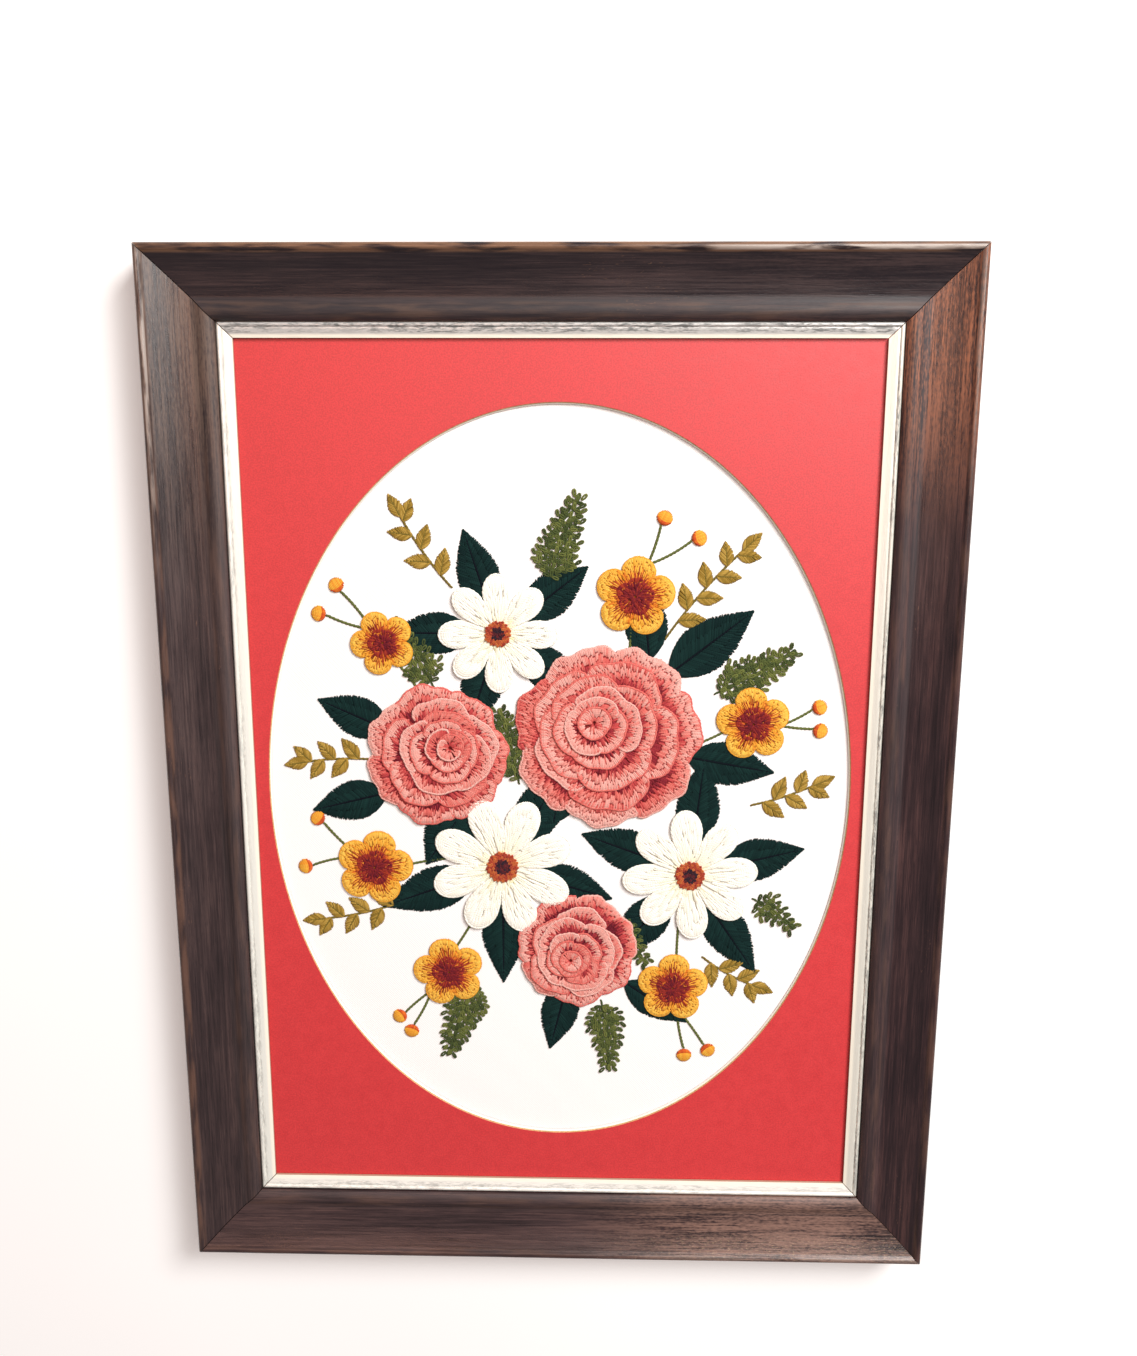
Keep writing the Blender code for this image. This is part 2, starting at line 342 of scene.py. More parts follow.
class Nodes:
    """The nodes of one material and its Principled shader."""

    def __init__(
        self, name: str, roughness: float, metallic: float = 0.0, specular: float = 0.5, sheen: float = 0.0,
    ) -> None:
        """Make the material and set the constants of its shader.

        Args:
            name: the material's name.
            roughness: roughness where nothing varies it.
            metallic: share of metal.
            specular: level of the shader's own reflection, 0.5 for plain varnish.
            sheen: weight of the soft fibres at grazing angles.
        """
        self.material = bpy.data.materials.new(name)
        self.material.use_nodes = True
        self.tree = self.material.node_tree
        self.shader = self.tree.nodes["Principled BSDF"]
        self.shader.inputs["Roughness"].default_value = roughness
        self.shader.inputs["Metallic"].default_value = metallic
        self.shader.inputs["Specular IOR Level"].default_value = specular
        self.shader.inputs["Sheen Weight"].default_value = sheen
        self.shader.inputs["Sheen Roughness"].default_value = 0.4

    def add(self, kind: str, settings: dict | None = None, inputs: dict | None = None) -> bpy.types.Node:
        """Add a node.

        Args:
            kind: the node's type.
            settings: the node's own properties; "stops" is a list of places and colours for a ramp.
            inputs: values or links by socket name or number.

        Returns:
            The node.
        """
        node = self.tree.nodes.new(kind)
        for name, setting in (settings or {}).items():
            if name == "stops":
                ramp = node.color_ramp
                while len(ramp.elements) < len(setting):
                    ramp.elements.new(0.5)
                for element, (place, colour) in zip(ramp.elements, setting):
                    element.position = place
                    element.color = (*colour, 1.0)
            else:
                setattr(node, name, setting)
        for name, given in (inputs or {}).items():
            socket = node.inputs[name]
            if isinstance(given, Value):
                self.tree.links.new(given.socket, socket)
            elif isinstance(given, bpy.types.NodeSocket):
                self.tree.links.new(given, socket)
            elif isinstance(given, tuple) and socket.type == "RGBA":
                socket.default_value = (*given, 1.0)
            else:
                socket.default_value = given
        return node

    def uv(self) -> bpy.types.NodeSocket:
        """The piece's own UV, in millimetres or shares."""
        return self.add("ShaderNodeUVMap", {"uv_map": "yarn"}).outputs["UV"]

    def place(self) -> bpy.types.NodeSocket:
        """Object coordinates, in metres."""
        return self.add("ShaderNodeTexCoord").outputs["Object"]

    def value(self, name: str) -> Value:
        """A named value of the piece's points."""
        return Value(self, self.add("ShaderNodeAttribute", {"attribute_name": name}).outputs["Fac"])

    def parts(self, vector: bpy.types.NodeSocket) -> tuple[Value, Value, Value]:
        """The three numbers of a vector."""
        made = self.add("ShaderNodeSeparateXYZ", inputs={"Vector": vector})
        return tuple(Value(self, made.outputs[i]) for i in range(3))

    def stretch(self, vector: bpy.types.NodeSocket, scale: Colour) -> bpy.types.NodeSocket:
        """A vector times a scale for each axis."""
        made = self.add("ShaderNodeVectorMath", {"operation": "MULTIPLY"}, {0: vector, 1: scale})
        return made.outputs["Vector"]

    def noise(self, vector: bpy.types.NodeSocket, scale: float, detail: float = 2.0, warp: float = 0.0) -> Value:
        """Noise about 0.5 at a scale."""
        inputs = {"Vector": vector, "Scale": scale, "Detail": detail, "Distortion": warp}
        return Value(self, self.add("ShaderNodeTexNoise", inputs=inputs).outputs["Fac"])

    def mix(
        self, share: Value, first: Colour | bpy.types.NodeSocket, second: Colour | bpy.types.NodeSocket,
        way: str = "MIX",
    ) -> bpy.types.NodeSocket:
        """Blend two colours.

        Args:
            share: share of the second colour.
            first: a colour or a link.
            second: a colour or a link.
            way: the Mix node's way of blending.

        Returns:
            The blended colour.
        """
        settings = {"data_type": "RGBA", "blend_type": way, "clamp_factor": True}
        return self.add("ShaderNodeMix", settings, {0: share, 6: first, 7: second}).outputs[2]

    def ramp(self, share: Value, stops: Sequence[tuple[float, Colour]]) -> bpy.types.NodeSocket:
        """Colour from a ramp of places and colours."""
        return self.add("ShaderNodeValToRGB", {"stops": stops}, {"Fac": share}).outputs["Color"]

    def paint(
        self, colour: bpy.types.NodeSocket, roughness: Value | None = None, metallic: Value | None = None,
    ) -> None:
        """Join what varies over the surface to the shader."""
        self.tree.links.new(colour, self.shader.inputs["Base Color"])
        for name, value in (("Roughness", roughness), ("Metallic", metallic)):
            if value is not None:
                self.tree.links.new(value.socket, self.shader.inputs[name])

    def emboss(self, height: Value, depth: float, strength: float = 1.0) -> None:
        """Raise the surface by a height in a Bump node, with its depth in metres."""
        made = self.add("ShaderNodeBump", inputs={"Height": height, "Distance": depth, "Strength": strength})
        self.tree.links.new(made.outputs["Normal"], self.shader.inputs["Normal"])


@dataclass(frozen=True)
class WoodFinish:
    """Dark stained moulding: grain streaking along the rail, a rubbed bead, a few scuffs; painted light makes a
    paler lit end, crest highlight and sparkle.
    """

    name: str
    dark: Colour
    middle: Colour
    warm: Colour
    rubbed: Colour = (0.17, 0.085, 0.055)
    bead_wear: float = 0.5
    wear_from: tuple[float, float] = (0.40, 0.66)
    nose_wear: float = 0.25
    # painted light: the rail turns towards the pale colour at its lit end, over a span along one axis and by a
    # share
    pale: Colour = (0.20, 0.12, 0.09)
    axis: int = 1
    lit_span: tuple[float, float] = (0.0, 0.2)
    fade: float = 0.0
    # strength of the painted highlight on the bead's crest
    painted_glint: float = 0.0
    # strength of the painted sparkle of sheen at the lit end
    painted_sparkle: float = 0.0
    roughness: float = 0.32
    bead: tuple[float, float] = (19.0, 22.6)
    # span of the bead's crest that takes the painted highlight
    highlight_crest: tuple[float, float] = (20.9, 22.3)
    cove: tuple[float, float] = (40.0, 47.0)
    nose: tuple[float, float] = (42.0, 47.5)
    # span round the section and colour of the painted sparkle
    painted_sparkle_ends: tuple[float, float] = (33.0, 28.0)
    painted_sparkle_colour: Colour = (0.62, 0.46, 0.26)
    # colour of the painted highlight on the crest
    painted_highlight_colour: Colour = (0.52, 0.46, 0.41)

    def material(self) -> bpy.types.Material:
        """Return the material. Its UV runs along the rail and round its section, in millimetres."""
        n = Nodes(self.name, self.roughness, specular=0.58)
        uv = n.uv()
        # painted light: how far towards its lit end each point of the rail lies
        lit_end = n.parts(n.place())[self.axis].between(*self.lit_span)
        _, round_section, _ = n.parts(uv)
        broad = n.noise(n.stretch(uv, (0.010, 0.24, 1.0)), 1.0, 3.0, 0.5)
        streak = n.noise(n.stretch(uv, (0.035, 1.3, 1.0)), 1.0, 4.0, 0.3)
        fine = n.noise(n.stretch(uv, (0.14, 5.0, 1.0)), 1.0, 2.0)
        cloud = n.noise(n.stretch(uv, (0.02, 0.05, 1.0)), 1.0, 3.0)
        pore = n.noise(n.stretch(uv, (0.22, 3.4, 1.0)), 1.0, 1.0)
        tone = broad * 0.55 + streak * 0.65 + fine * 0.40 + cloud * 0.40 - 0.50
        colour = n.ramp(tone, [(0.28, self.dark), (0.50, self.middle), (0.76, self.warm)])
        mottle = tone * 0.62 + n.noise(n.stretch(uv, (0.45, 1.5, 1.0)), 1.0, 3.0) * 0.38
        # painted light: paler towards the lit end, broken up by the grain's mottle
        colour = n.mix(lit_end * self.fade * mottle.between(0.38, 0.60), colour, self.pale)
        # painted sparkle: small flecks of sheen on the lit end
        painted_sparkle = n.noise(n.stretch(uv, (0.9, 2.4, 1.0)), 1.0, 2.0).between(0.56, 0.70)
        painted_sparkle = painted_sparkle * lit_end * self.painted_sparkle * round_section.between(*self.painted_sparkle_ends)
        colour = n.mix(painted_sparkle, colour, self.painted_sparkle_colour)
        colour = n.mix(pore.between(0.60, 0.70) * 0.55, colour, self.dark)
        patchy = n.noise(n.stretch(uv, (0.045, 0.30, 1.0)), 1.0, 4.0)
        rub = round_section.band(*self.bead, 1.2) * patchy.between(*self.wear_from) * self.bead_wear
        nose = round_section.band(*self.nose, 2.0) * patchy.between(0.42, 0.70) * self.nose_wear
        scratch = n.noise(n.stretch(uv, (0.35, 2.2, 1.0)), 1.0, 1.0, 1.5)
        sparse = n.noise(n.stretch(uv, (0.02, 0.06, 1.0)), 1.0, 1.0)
        scuff = scratch.between(0.68, 0.76) * sparse.between(0.58, 0.66) * 0.6
        colour = n.mix(rub + nose + scuff, colour, self.rubbed)
        # painted highlight on the bead's crest, in patches, towards the lit end
        highlight_crest = round_section.band(*self.highlight_crest, 0.4) * patchy.between(0.36, 0.52) * lit_end * self.painted_glint
        colour = n.mix(highlight_crest, colour, self.painted_highlight_colour)
        worn = round_section.band(*self.cove, 1.5) * 0.28
        n.paint(colour, roughness=self.roughness + (streak - 0.5) * 0.30 + (cloud - 0.5) * 0.25 + worn)
        n.emboss(streak * 0.6 + fine * 0.4 - pore.between(0.58, 0.74) * 0.1, 0.00011, 0.8)
        return n.material


@dataclass(frozen=True)
class SilverFinish:
    """Rubbed silver leaf over gesso, cream where it meets the mat and speckled beside the wood, with painted
    shade in the crease beside the wood and on the edge that faces the mat.
    """

    name: str
    silver: Colour = (0.74, 0.73, 0.68)
    cream: Colour = (0.93, 0.88, 0.75)
    # colour of the tarnished specks, and of the painted shade in the crease beside the wood
    tarnish_and_shade: Colour = (0.15, 0.155, 0.15)
    specks: float = 0.8
    reach: tuple[float, float] = (9.0, 7.8)
    wood_side: tuple[float, float] = (3.9, 4.8)
    mat_side: tuple[float, float] = (8.4, 9.5)
    # the edge that faces the mat, painted darker as shade between the slip and the mat
    lip: tuple[float, float] = (10.20, 10.5)
    lip_shade_colour: Colour = (0.30, 0.17, 0.08)

    def material(self) -> bpy.types.Material:
        """Return the material. Its UV runs along the slip and round its section, in millimetres."""
        n = Nodes(self.name, 0.36, metallic=0.2, specular=0.5)
        uv = n.uv()
        _, v, _ = n.parts(uv)
        leaf = n.noise(n.stretch(uv, (0.16, 0.9, 1.0)), 1.0, 5.0, 0.5)
        grain = n.noise(n.stretch(uv, (0.5, 2.6, 1.0)), 1.0, 3.0)
        cloud = n.noise(n.stretch(uv, (0.02, 0.1, 1.0)), 1.0, 2.0)
        near_mat = v.between(*self.mat_side)
        colour = n.mix(near_mat + (grain - 0.5) * 0.3, self.silver, self.cream)
        flaked = (leaf * 0.55 + grain * 0.45).between(0.43, 0.60)
        speck = flaked * v.between(*self.reach) * v.between(*self.wood_side)
        speck = speck * cloud.between(0.25, 0.55) * self.specks
        # tarnished specks beside the wood, and a line of painted shade in the crease under the wood's nose
        colour = n.mix(speck + v.between(4.6, 4.0) * 0.8, colour, self.tarnish_and_shade)
        # painted shade on the edge that faces the mat
        colour = n.mix(v.between(*self.lip) * 0.75, colour, self.lip_shade_colour)
        n.paint(colour, roughness=0.30 + speck * 0.3 + grain * 0.15, metallic=0.25 - near_mat * 0.2)
        n.emboss(leaf * 0.7 + grain * 0.3, 0.00018, 0.8)
        return n.material


@dataclass(frozen=True)
class CardFinish:
    """Coloured mat board with a fine paper grain."""

    name: str
    colour: Colour
    deep: Colour
    grain: float = 1.0
    roughness: float = 0.52

    def material(self) -> bpy.types.Material:
        """Return the material, on object coordinates."""
        n = Nodes(self.name, self.roughness, specular=0.8, sheen=0.05)
        at = n.place()
        tooth = n.noise(at, 1700.0, 3.0)
        mottle = n.noise(at, 260.0, 3.0)
        cloud = n.noise(at, 16.0, 2.0)
        tone = (tooth * 0.75 + mottle * 0.15 + cloud * 0.10).between(0.36, 0.64)
        n.paint(n.mix(tone, self.deep, self.colour), roughness=self.roughness + (mottle - 0.5) * 0.2)
        n.emboss(tooth * 0.6 + mottle * 0.4, 0.00007 * self.grain, 0.8)
        return n.material


@dataclass(frozen=True)
class WeaveFinish:
    """Plain weave: threads over and under each other in two directions."""

    name: str
    colour: Colour = (0.95, 0.945, 0.935)
    shadow: Colour = (0.66, 0.65, 0.63)
    pitch: float = 0.00052

    def material(self) -> bpy.types.Material:
        """Return the material, on object coordinates."""
        n = Nodes(self.name, 0.88, specular=0.25, sheen=0.15)
        at = n.place()
        x, y, _ = n.parts(at)
        slub_x = n.noise(n.stretch(at, (900.0, 30.0, 1.0)), 1.0, 1.0)
        slub_y = n.noise(n.stretch(at, (30.0, 900.0, 1.0)), 1.0, 1.0)
        turns = math.pi / self.pitch
        warp = (x * turns + slub_y * 0.8).sine()
        weft = (y * turns + slub_x * 0.8).sine()
        height = (warp * weft + 1) * 0.5
        open_hole = (warp.size() * weft.size()).between(0.25, 0.0) * 0.35
        fibre = n.noise(at, 1500.0, 2.0)
        n.paint(n.mix(open_hole + (fibre - 0.5) * 0.25, self.colour, self.shadow))
        n.emboss(height * 0.7 + fibre * 0.3, 0.00016, 0.7)
        return n.material


@dataclass(frozen=True)
class YarnFinish:
    """Twisted wool yarn, whose tone on a ramp of dyed colours comes from each stitch's shade, darkened by painted
    shade at its tucked ends, along its sides and in the grooves of its twist.
    """

    name: str
    stops: tuple[tuple[float, Colour], ...]
    # the hollow colour and the two strengths that follow paint shade: at the yarn's tucked ends and along its
    # sides
    hollow: Colour = (0.30, 0.26, 0.26)
    ply: float = 0.95
    sheen: float = 0.12
    end_shade: float = 0.80
    seam_shade: float = 0.45
    roughness: float = 0.78
    specular: float = 0.22

    def material(self) -> bpy.types.Material:
        """Return the material. The plies are slanting stripes of a sine on the UV along and across the yarn."""
        n = Nodes(self.name, self.roughness, specular=self.specular, sheen=self.sheen)
        uv = n.uv()
        along, across, _ = n.parts(uv)
        fibre = n.noise(n.stretch(uv, (1.1, 6.0, 1.0)), 1.0, 2.0)
        twist = ((along / self.ply + across * 0.8) * (2 * math.pi)).sine() * 0.5 + 0.5
        colour = n.ramp(n.value("shade"), self.stops)
        # painted shade: darker where the yarn tucks into the cloth, in the grooves of its twist and along its
        # sides, with random fibre tone
        end = n.value("tuck").between(0.30, 0.95) * self.end_shade
        groove = twist.between(0.35, 0.0) * 0.22
        edge = (across - 0.5).size().between(0.30, 0.48) * self.seam_shade
        painted_shade_and_fibre = end + groove + edge + (fibre - 0.5) * 0.40
        n.paint(n.mix(painted_shade_and_fibre, colour, self.hollow, "MULTIPLY"))
        n.emboss(twist * 0.6 + fibre * 0.4, 0.00010, 0.8)
        return n.material


@dataclass(frozen=True)
class FeltFinish:
    """Matted underlay beneath the stitches; where its tone is deeper than the yarn's, that is partly painted
    shade in the gaps between stitches.
    """

    name: str
    colour: Colour
    shade: float = 0.55

    def material(self) -> bpy.types.Material:
        """Return the material, on object coordinates."""
        n = Nodes(self.name, 0.95, specular=0.1)
        at = n.place()
        lump = n.noise(at, 900.0, 4.0)
        dark = tuple(c * self.shade for c in self.colour)
        n.paint(n.mix(lump.between(0.35, 0.65), dark, self.colour))
        n.emboss(lump, 0.0002, 0.8)
        return n.material


@dataclass(frozen=True)
class BoardFinish:
    """Pressed backing board with short fibres."""

    name: str
    colour: Colour = (0.33, 0.225, 0.135)
    dark: Colour = (0.17, 0.105, 0.060)

    def material(self) -> bpy.types.Material:
        """Return the material, on object coordinates."""
        n = Nodes(self.name, 0.85, specular=0.25)
        at = n.place()
        fibre = n.noise(n.stretch(at, (1.0, 0.35, 1.0)), 700.0, 4.0, 1.2)
        fleck = n.noise(at, 380.0, 2.0).between(0.66, 0.74)
        cloud = n.noise(at, 20.0, 3.0)
        colour = n.mix((fibre * 0.6 + cloud * 0.4).between(0.35, 0.65), self.dark, self.colour)
        n.paint(n.mix(fleck * 0.6, colour, (0.55, 0.42, 0.28)))
        n.emboss(fibre * 0.7 + fleck * 0.3, 0.00012, 0.6)
        return n.material


@dataclass(frozen=True)
class FloorFinish:
    """Pale matte paper under the panel, lit a little from behind."""

    name: str
    colour: Colour = (0.86, 0.855, 0.85)
    glow: float = 0.20

    def material(self) -> bpy.types.Material:
        """Return the material, on object coordinates."""
        n = Nodes(self.name, 0.9, specular=0.1)
        n.shader.inputs["Emission Color"].default_value = (1.0, 0.965, 0.95, 1.0)
        n.shader.inputs["Emission Strength"].default_value = self.glow
        dimmer = tuple(c * 0.97 for c in self.colour)
        n.paint(n.mix(n.noise(n.place(), 4.0).between(0.3, 0.7), dimmer, self.colour))
        return n.material


# The frame


def arc(centre: tuple[float, float], radius: float, start: float, end: float, steps: int) -> Array:
    """Return points on an arc.

    Args:
        centre: middle of the arc.
        radius: its radius.
        start: angle of the first point, in degrees.
        end: angle of the last point.
        steps: steps between them.

    Returns:
        The centre plus the radius times the cosine and sine of evenly spaced angles.
    """
    angle = np.radians(np.linspace(start, end, steps + 1))
    return np.stack([centre[0] + radius * np.cos(angle), centre[1] + radius * np.sin(angle)], axis=-1)


def sweep_bar(
    section: Array, side: Side, stations: int, waver: Callable[[Array, Array, Array], Array],
) -> Surface:
    """Carry a closed section along one side of the frame, with ends drawn back to 45 degree mitres.

    A point of the section at distance u in from the outer edge runs from minus to plus half the side's length
    less u and the mitre's clearance.

    Args:
        section: points of shape (points, 2), as distance inwards and height.
        side: side of the frame.
        stations: stations along the bar.
        waver: height to add, from the distance along, the distance inwards and the height.

    Returns:
        The closed surface, its UV along the bar and round the section in millimetres.
    """
    inward, height = section[:, 0], section[:, 1]
    reach = side.length / 2 - inward - MITRE_CLEARANCE
    along = np.linspace(-1, 1, stations)[:, None] * reach[None, :]
    inward, height = np.broadcast_arrays(inward[None, :], height[None, :])
    height = height + waver(along, inward, height)
    points = side.place(along, inward, height).reshape(-1, 3)
    count = len(section)
    quads = grid(stations, count, wrap_columns=True)
    ring = np.arange(count)
    ends = [ring[::-1], ring + (stations - 1) * count]
    steps = np.linalg.norm(np.diff(np.concatenate([section, section[:1]]), axis=0), axis=1)
    around = np.concatenate([[0.0], np.cumsum(steps)])
    column = quads % count
    closing = (column == 0) & np.array([False, False, True, True])[None, :]
    v = np.where(closing, around[-1], around[:-1][column])
    u = along.reshape(-1)[quads] + side.value * 10.0
    uv = np.stack([u, v], axis=-1).reshape(-1, 2)
    cap_uv = [section + np.array([side.value * 10.0, 0.0])] * 2
    corners = np.concatenate([quads.reshape(-1), *ends])
    sizes = np.concatenate([np.full(len(quads), 4), [count, count]])
    surface = Surface(points, corners, sizes, np.concatenate([uv, *cap_uv]))
    if surface.volume() < 0:
        raise ValueError(f"the bar on {side.name} is inside out")
    return surface


@dataclass
class Bars(ABC):
    """Four lengths of one section round the frame, mitred, each in its own finish."""

    piece: str
    node: str
    slot: str
    sharp: float
    stations: int

    @abstractmethod
    def section(self) -> Array:
        """Return the closed outline, as distance inwards and height."""

    @abstractmethod
    def waver(self, along: Array, inward: Array, height: Array) -> Array:
        """Return the height that the maker's hand adds at each point."""

    def build(self, finishes: dict[Side, "WoodFinish | SilverFinish"]) -> None:
        """Build one bar on each side, in its finish."""
        for side, finish in finishes.items():
            end = side.name.lower()
            bar = sweep_bar(self.section(), side, self.stations, self.waver)
            materials = [finish.material()]
            bar.stand_in(f"{self.piece}_{end}", materials, self.sharp, f"{self.node}_{end}", self.slot)


@dataclass
class Moulding(Bars):
    """The wood rails: a round bead outside, a hollow face that falls inwards and a round shoulder."""

    piece: str = "moulding"
    node: str = "rail"
    slot: str = "walnut"
    sharp: float = 32
    stations: int = 130
    depth: float = 20.0
    width: float = 27.0
    back_width: float = 25.0
    rebate_height: float = 11.8
    bead_radius: float = 1.6
    hollow_start: tuple[float, float] = (3.3, 18.9)
    hollow_end: tuple[float, float] = (17.7, 13.95)
    hollow_sag: float = 0.6
    cove_radius: float = 6.0
    cove_rise: float = 24.5
    shoulder_radius: float = 4.6

    def section(self) -> Array:
        """Return the moulding's outline from its outer back corner round by the front."""
        bead = arc((self.bead_radius, self.depth - self.bead_radius), self.bead_radius, 180, 35, 12)
        t = np.linspace(0, 1, 22)
        start, end = np.array(self.hollow_start), np.array(self.hollow_end)
        hollow = start + (end - start) * t[:, None]
        hollow[:, 1] -= self.hollow_sag * np.sin(math.pi * t)
        run, drop = start - end
        fall = math.atan2(drop - self.hollow_sag * math.pi, -run)
        cove = (end[0] + self.cove_radius * math.sin(fall), end[1] + self.cove_radius * math.cos(fall))
        rise = math.radians(self.cove_rise)
        apart = self.cove_radius + self.shoulder_radius
        middle = (cove[0] + apart * math.sin(rise), cove[1] - apart * math.cos(rise))
        last = math.degrees(math.acos((self.width - middle[0]) / self.shoulder_radius))
        bend = arc(cove, self.cove_radius, -90 - math.degrees(fall), self.cove_rise - 90, 8)[1:]
        shoulder = arc(middle, self.shoulder_radius, 90 + self.cove_rise, last, 14)[1:]
        outer = [[0.0, 0.0], [0.0, 6.0], [0.0, 12.0]]
        lip = self.rebate_height
        inner = [[self.width, lip], [self.back_width, lip], [self.back_width, 0.0]]
        return np.concatenate([outer, bead, hollow, bend, shoulder, inner])

    def waver(self, along: Array, inward: Array, height: Array) -> Array:
        """Return the hand-finished waver of the face: three slow sines along the rail, none on the back."""
        slow = np.sin(along / 23 + inward / 5) + 0.7 * np.sin(along / 9.1 + 2 + inward / 9)
        slow = slow + 0.5 * np.sin(along / 4.3)
        return 0.022 * slow * np.clip((height - 12.5) / 3, 0, 1) * np.clip((19.95 - height) / 0.3, 0, 1)


@dataclass
class Slip(Bars):
    """The silvered slip whose flange sits under the wood's nose."""

    piece: str = "silver_lip"
    node: str = "slip"
    slot: str = "silver_slip"
    sharp: float = 40
    stations: int = 190
    bottom: float = 10.2
    back: float = 25.3
    front: float = 27.3
    flange_top: float = 11.5
    bead_radius: float = 0.9
    bead_top: float = 12.8
    slope_start: float = 12.3
    slope_end: float = 11.4
    shown: float = 5.7

    def section(self) -> Array:
        """Return the slip's outline: a flange, a small bead beside the wood and a face that slopes to the mat."""
        sight = self.front + self.shown
        radius = self.bead_radius
        bead = arc((self.front + radius, self.bead_top - radius), radius, 180, 20, 10)
        crease = self.front + 2 * radius + FIT_GAP
        slope = np.linspace([crease, self.slope_start], [sight, self.slope_end], 6)
        start = [[self.back, self.bottom], [self.back, self.flange_top], [self.front, self.flange_top]]
        return np.concatenate([start, bead, slope, [[sight, self.bottom]]])

    def waver(self, along: Array, inward: Array, height: Array) -> Array:
        """Return the uneven gesso: quick small sines along the slip on its shown face."""
        quick = np.sin(along / 1.9 + inward) + np.sin(along / 3.7 + 1) + np.sin(along / 8.3 + inward / 2)
        return 0.014 * quick * np.clip((inward - 27.6) / 0.8, 0, 1) * np.clip((height - 10.6) / 0.5, 0, 1)


@dataclass
class OvalMat:
    """The coral mat with its oval window, whose steep cut shows a line of paper over a cream core."""

    width: float = LAYER_W
    height: float = LAYER_H
    top: float = MAT_TOP
    thickness: float = MAT_T
    steps: int = 360
    face_rings: int = 8
    bevel: float = 0.75
    line: float = 0.42
    rounding: float = 0.06

    def directions(self) -> Array:
        """Return angles round the middle, the rectangle's four corners among them."""
        corner = math.atan2(self.height / 2, self.width / 2)
        corners = np.array([corner, math.pi - corner, math.pi + corner, 2 * math.pi - corner])
        return np.unique(np.concatenate([np.linspace(0, 2 * math.pi, self.steps, endpoint=False), corners]))

    def surface(self) -> Surface:
        """Return the closed mat.

        Each ring follows the directions: the window at r = 1 / root((cos / a)^2 + (sin / b)^2), the edge where
        the direction meets the rectangle, and the rings between them by even shares.
        """
        turn = self.directions()
        cos, sin = np.cos(turn), np.sin(turn)
        edge = 1 / np.maximum(np.abs(cos) / (self.width / 2), np.abs(sin) / (self.height / 2))
        back = 1 / np.sqrt((cos / (OVAL_W / 2)) ** 2 + (sin / (OVAL_H / 2)) ** 2)
        front = 1 / np.sqrt((cos / (OVAL_W / 2 + self.bevel)) ** 2 + (sin / (OVAL_H / 2 + self.bevel)) ** 2)
        share = np.linspace(0, 1, self.face_rings)[:, None]
        fall = self.rounding
        front_rings = edge + (front + fall - edge) * share
        back_rings = back + (edge - back) * share
        core = front + (back - front) * self.line
        radius = np.concatenate([front_rings, front[None], core[None], back_rings])
        level = np.concatenate([
            np.full(self.face_rings, self.top),
            [self.top - fall, self.top - fall - (self.thickness - fall) * self.line],
            np.full(self.face_rings, self.top - self.thickness),
        ])
        rings, count = radius.shape
        shift = OVAL_Y * np.clip((edge - radius) / (edge - back), 0, 1)
        x, y = radius * cos, radius * sin + shift
        z = np.broadcast_to(level[:, None], radius.shape)
        quads = grid(rings, count, wrap_rows=True, wrap_columns=True)
        ring = quads[:, 0] // count - self.face_rings
        points = np.stack([x, y, z], axis=-1).reshape(-1, 3)
        corners = quads.reshape(-1)
        slots = np.where(ring == 0, 1, np.where(ring == 1, 2, 0))
        sizes = np.full(len(quads), 4)
        return Surface(points, corners, sizes, points[corners, :2], slots=slots).outward()

    def build(self) -> bpy.types.Object:
        """Build the mat in its card, its paper line and its cream core, and return it."""
        card = CardFinish("coral_card", (0.69, 0.035, 0.039), (0.55, 0.027, 0.032))
        cut = CardFinish("cut_paper", (0.68, 0.41, 0.17), (0.42, 0.23, 0.09), grain=0.5, roughness=0.8)
        core = CardFinish("cream_core", (0.95, 0.93, 0.84), (0.88, 0.83, 0.70), grain=0.5, roughness=0.8)
        materials = [finish.material() for finish in (card, cut, core)]
        return self.surface().stand_in("oval_mat", materials, 25, "mat", "coral_card")


@dataclass
class GroundCloth:
    """The woven sheet that carries the stitches, drawn tight over the board."""

    width: float = LAYER_W
    height: float = LAYER_H
    top: float = CLOTH_TOP
    thickness: float = 0.5
    pitch: float = 2.5
    pucker: float = 0.05

    def surface(self) -> Surface:
        """Return the closed sheet, whose face puckers by a product of slow sines that fades to the edges."""
        columns, rows = round(self.width / self.pitch), round(self.height / self.pitch)
        x, y = np.meshgrid(np.linspace(-1, 1, columns), np.linspace(-1, 1, rows), indexing="ij")
        fade = np.clip((1 - x**2) * (1 - y**2) * 2, 0, 1)
        wave = np.sin(x * 31 + 2 * np.sin(y * 9)) * np.sin(y * 43 + 2 * np.sin(x * 7))
        face = self.top - 0.02 + self.pucker * wave * fade - self.pucker
        plan = np.stack([x * self.width / 2, y * self.height / 2], axis=-1)
        upper = np.concatenate([plan, face[..., None]], axis=-1).reshape(-1, 3)
        lower = np.concatenate([plan, (face - self.thickness)[..., None]], axis=-1).reshape(-1, 3)
        quads = grid(columns, rows)
        number = np.arange(columns * rows).reshape(columns, rows)
        rim = np.concatenate([number[:-1, 0], number[-1, :-1], number[:0:-1, -1], number[0, :0:-1]])
        after = np.roll(rim, -1)
        wall = np.stack([rim, rim + columns * rows, after + columns * rows, after], axis=-1)
        corners = np.concatenate([quads, quads[:, ::-1] + columns * rows, wall]).reshape(-1)
        points = np.concatenate([upper, lower])
        return Surface(points, corners, np.full(len(corners) // 4, 4), points[corners, :2]).outward()

    def build(self, sewn: Sequence[bpy.types.Object]) -> bpy.types.Object:
        materials = [WeaveFinish("white_plain_weave").material()]
        cloth = self.surface().stand_in("woven_cloth", materials, 40, "ground_cloth", "embroidered_cloth")
        self.width * MM
        return cloth


# The embroidery


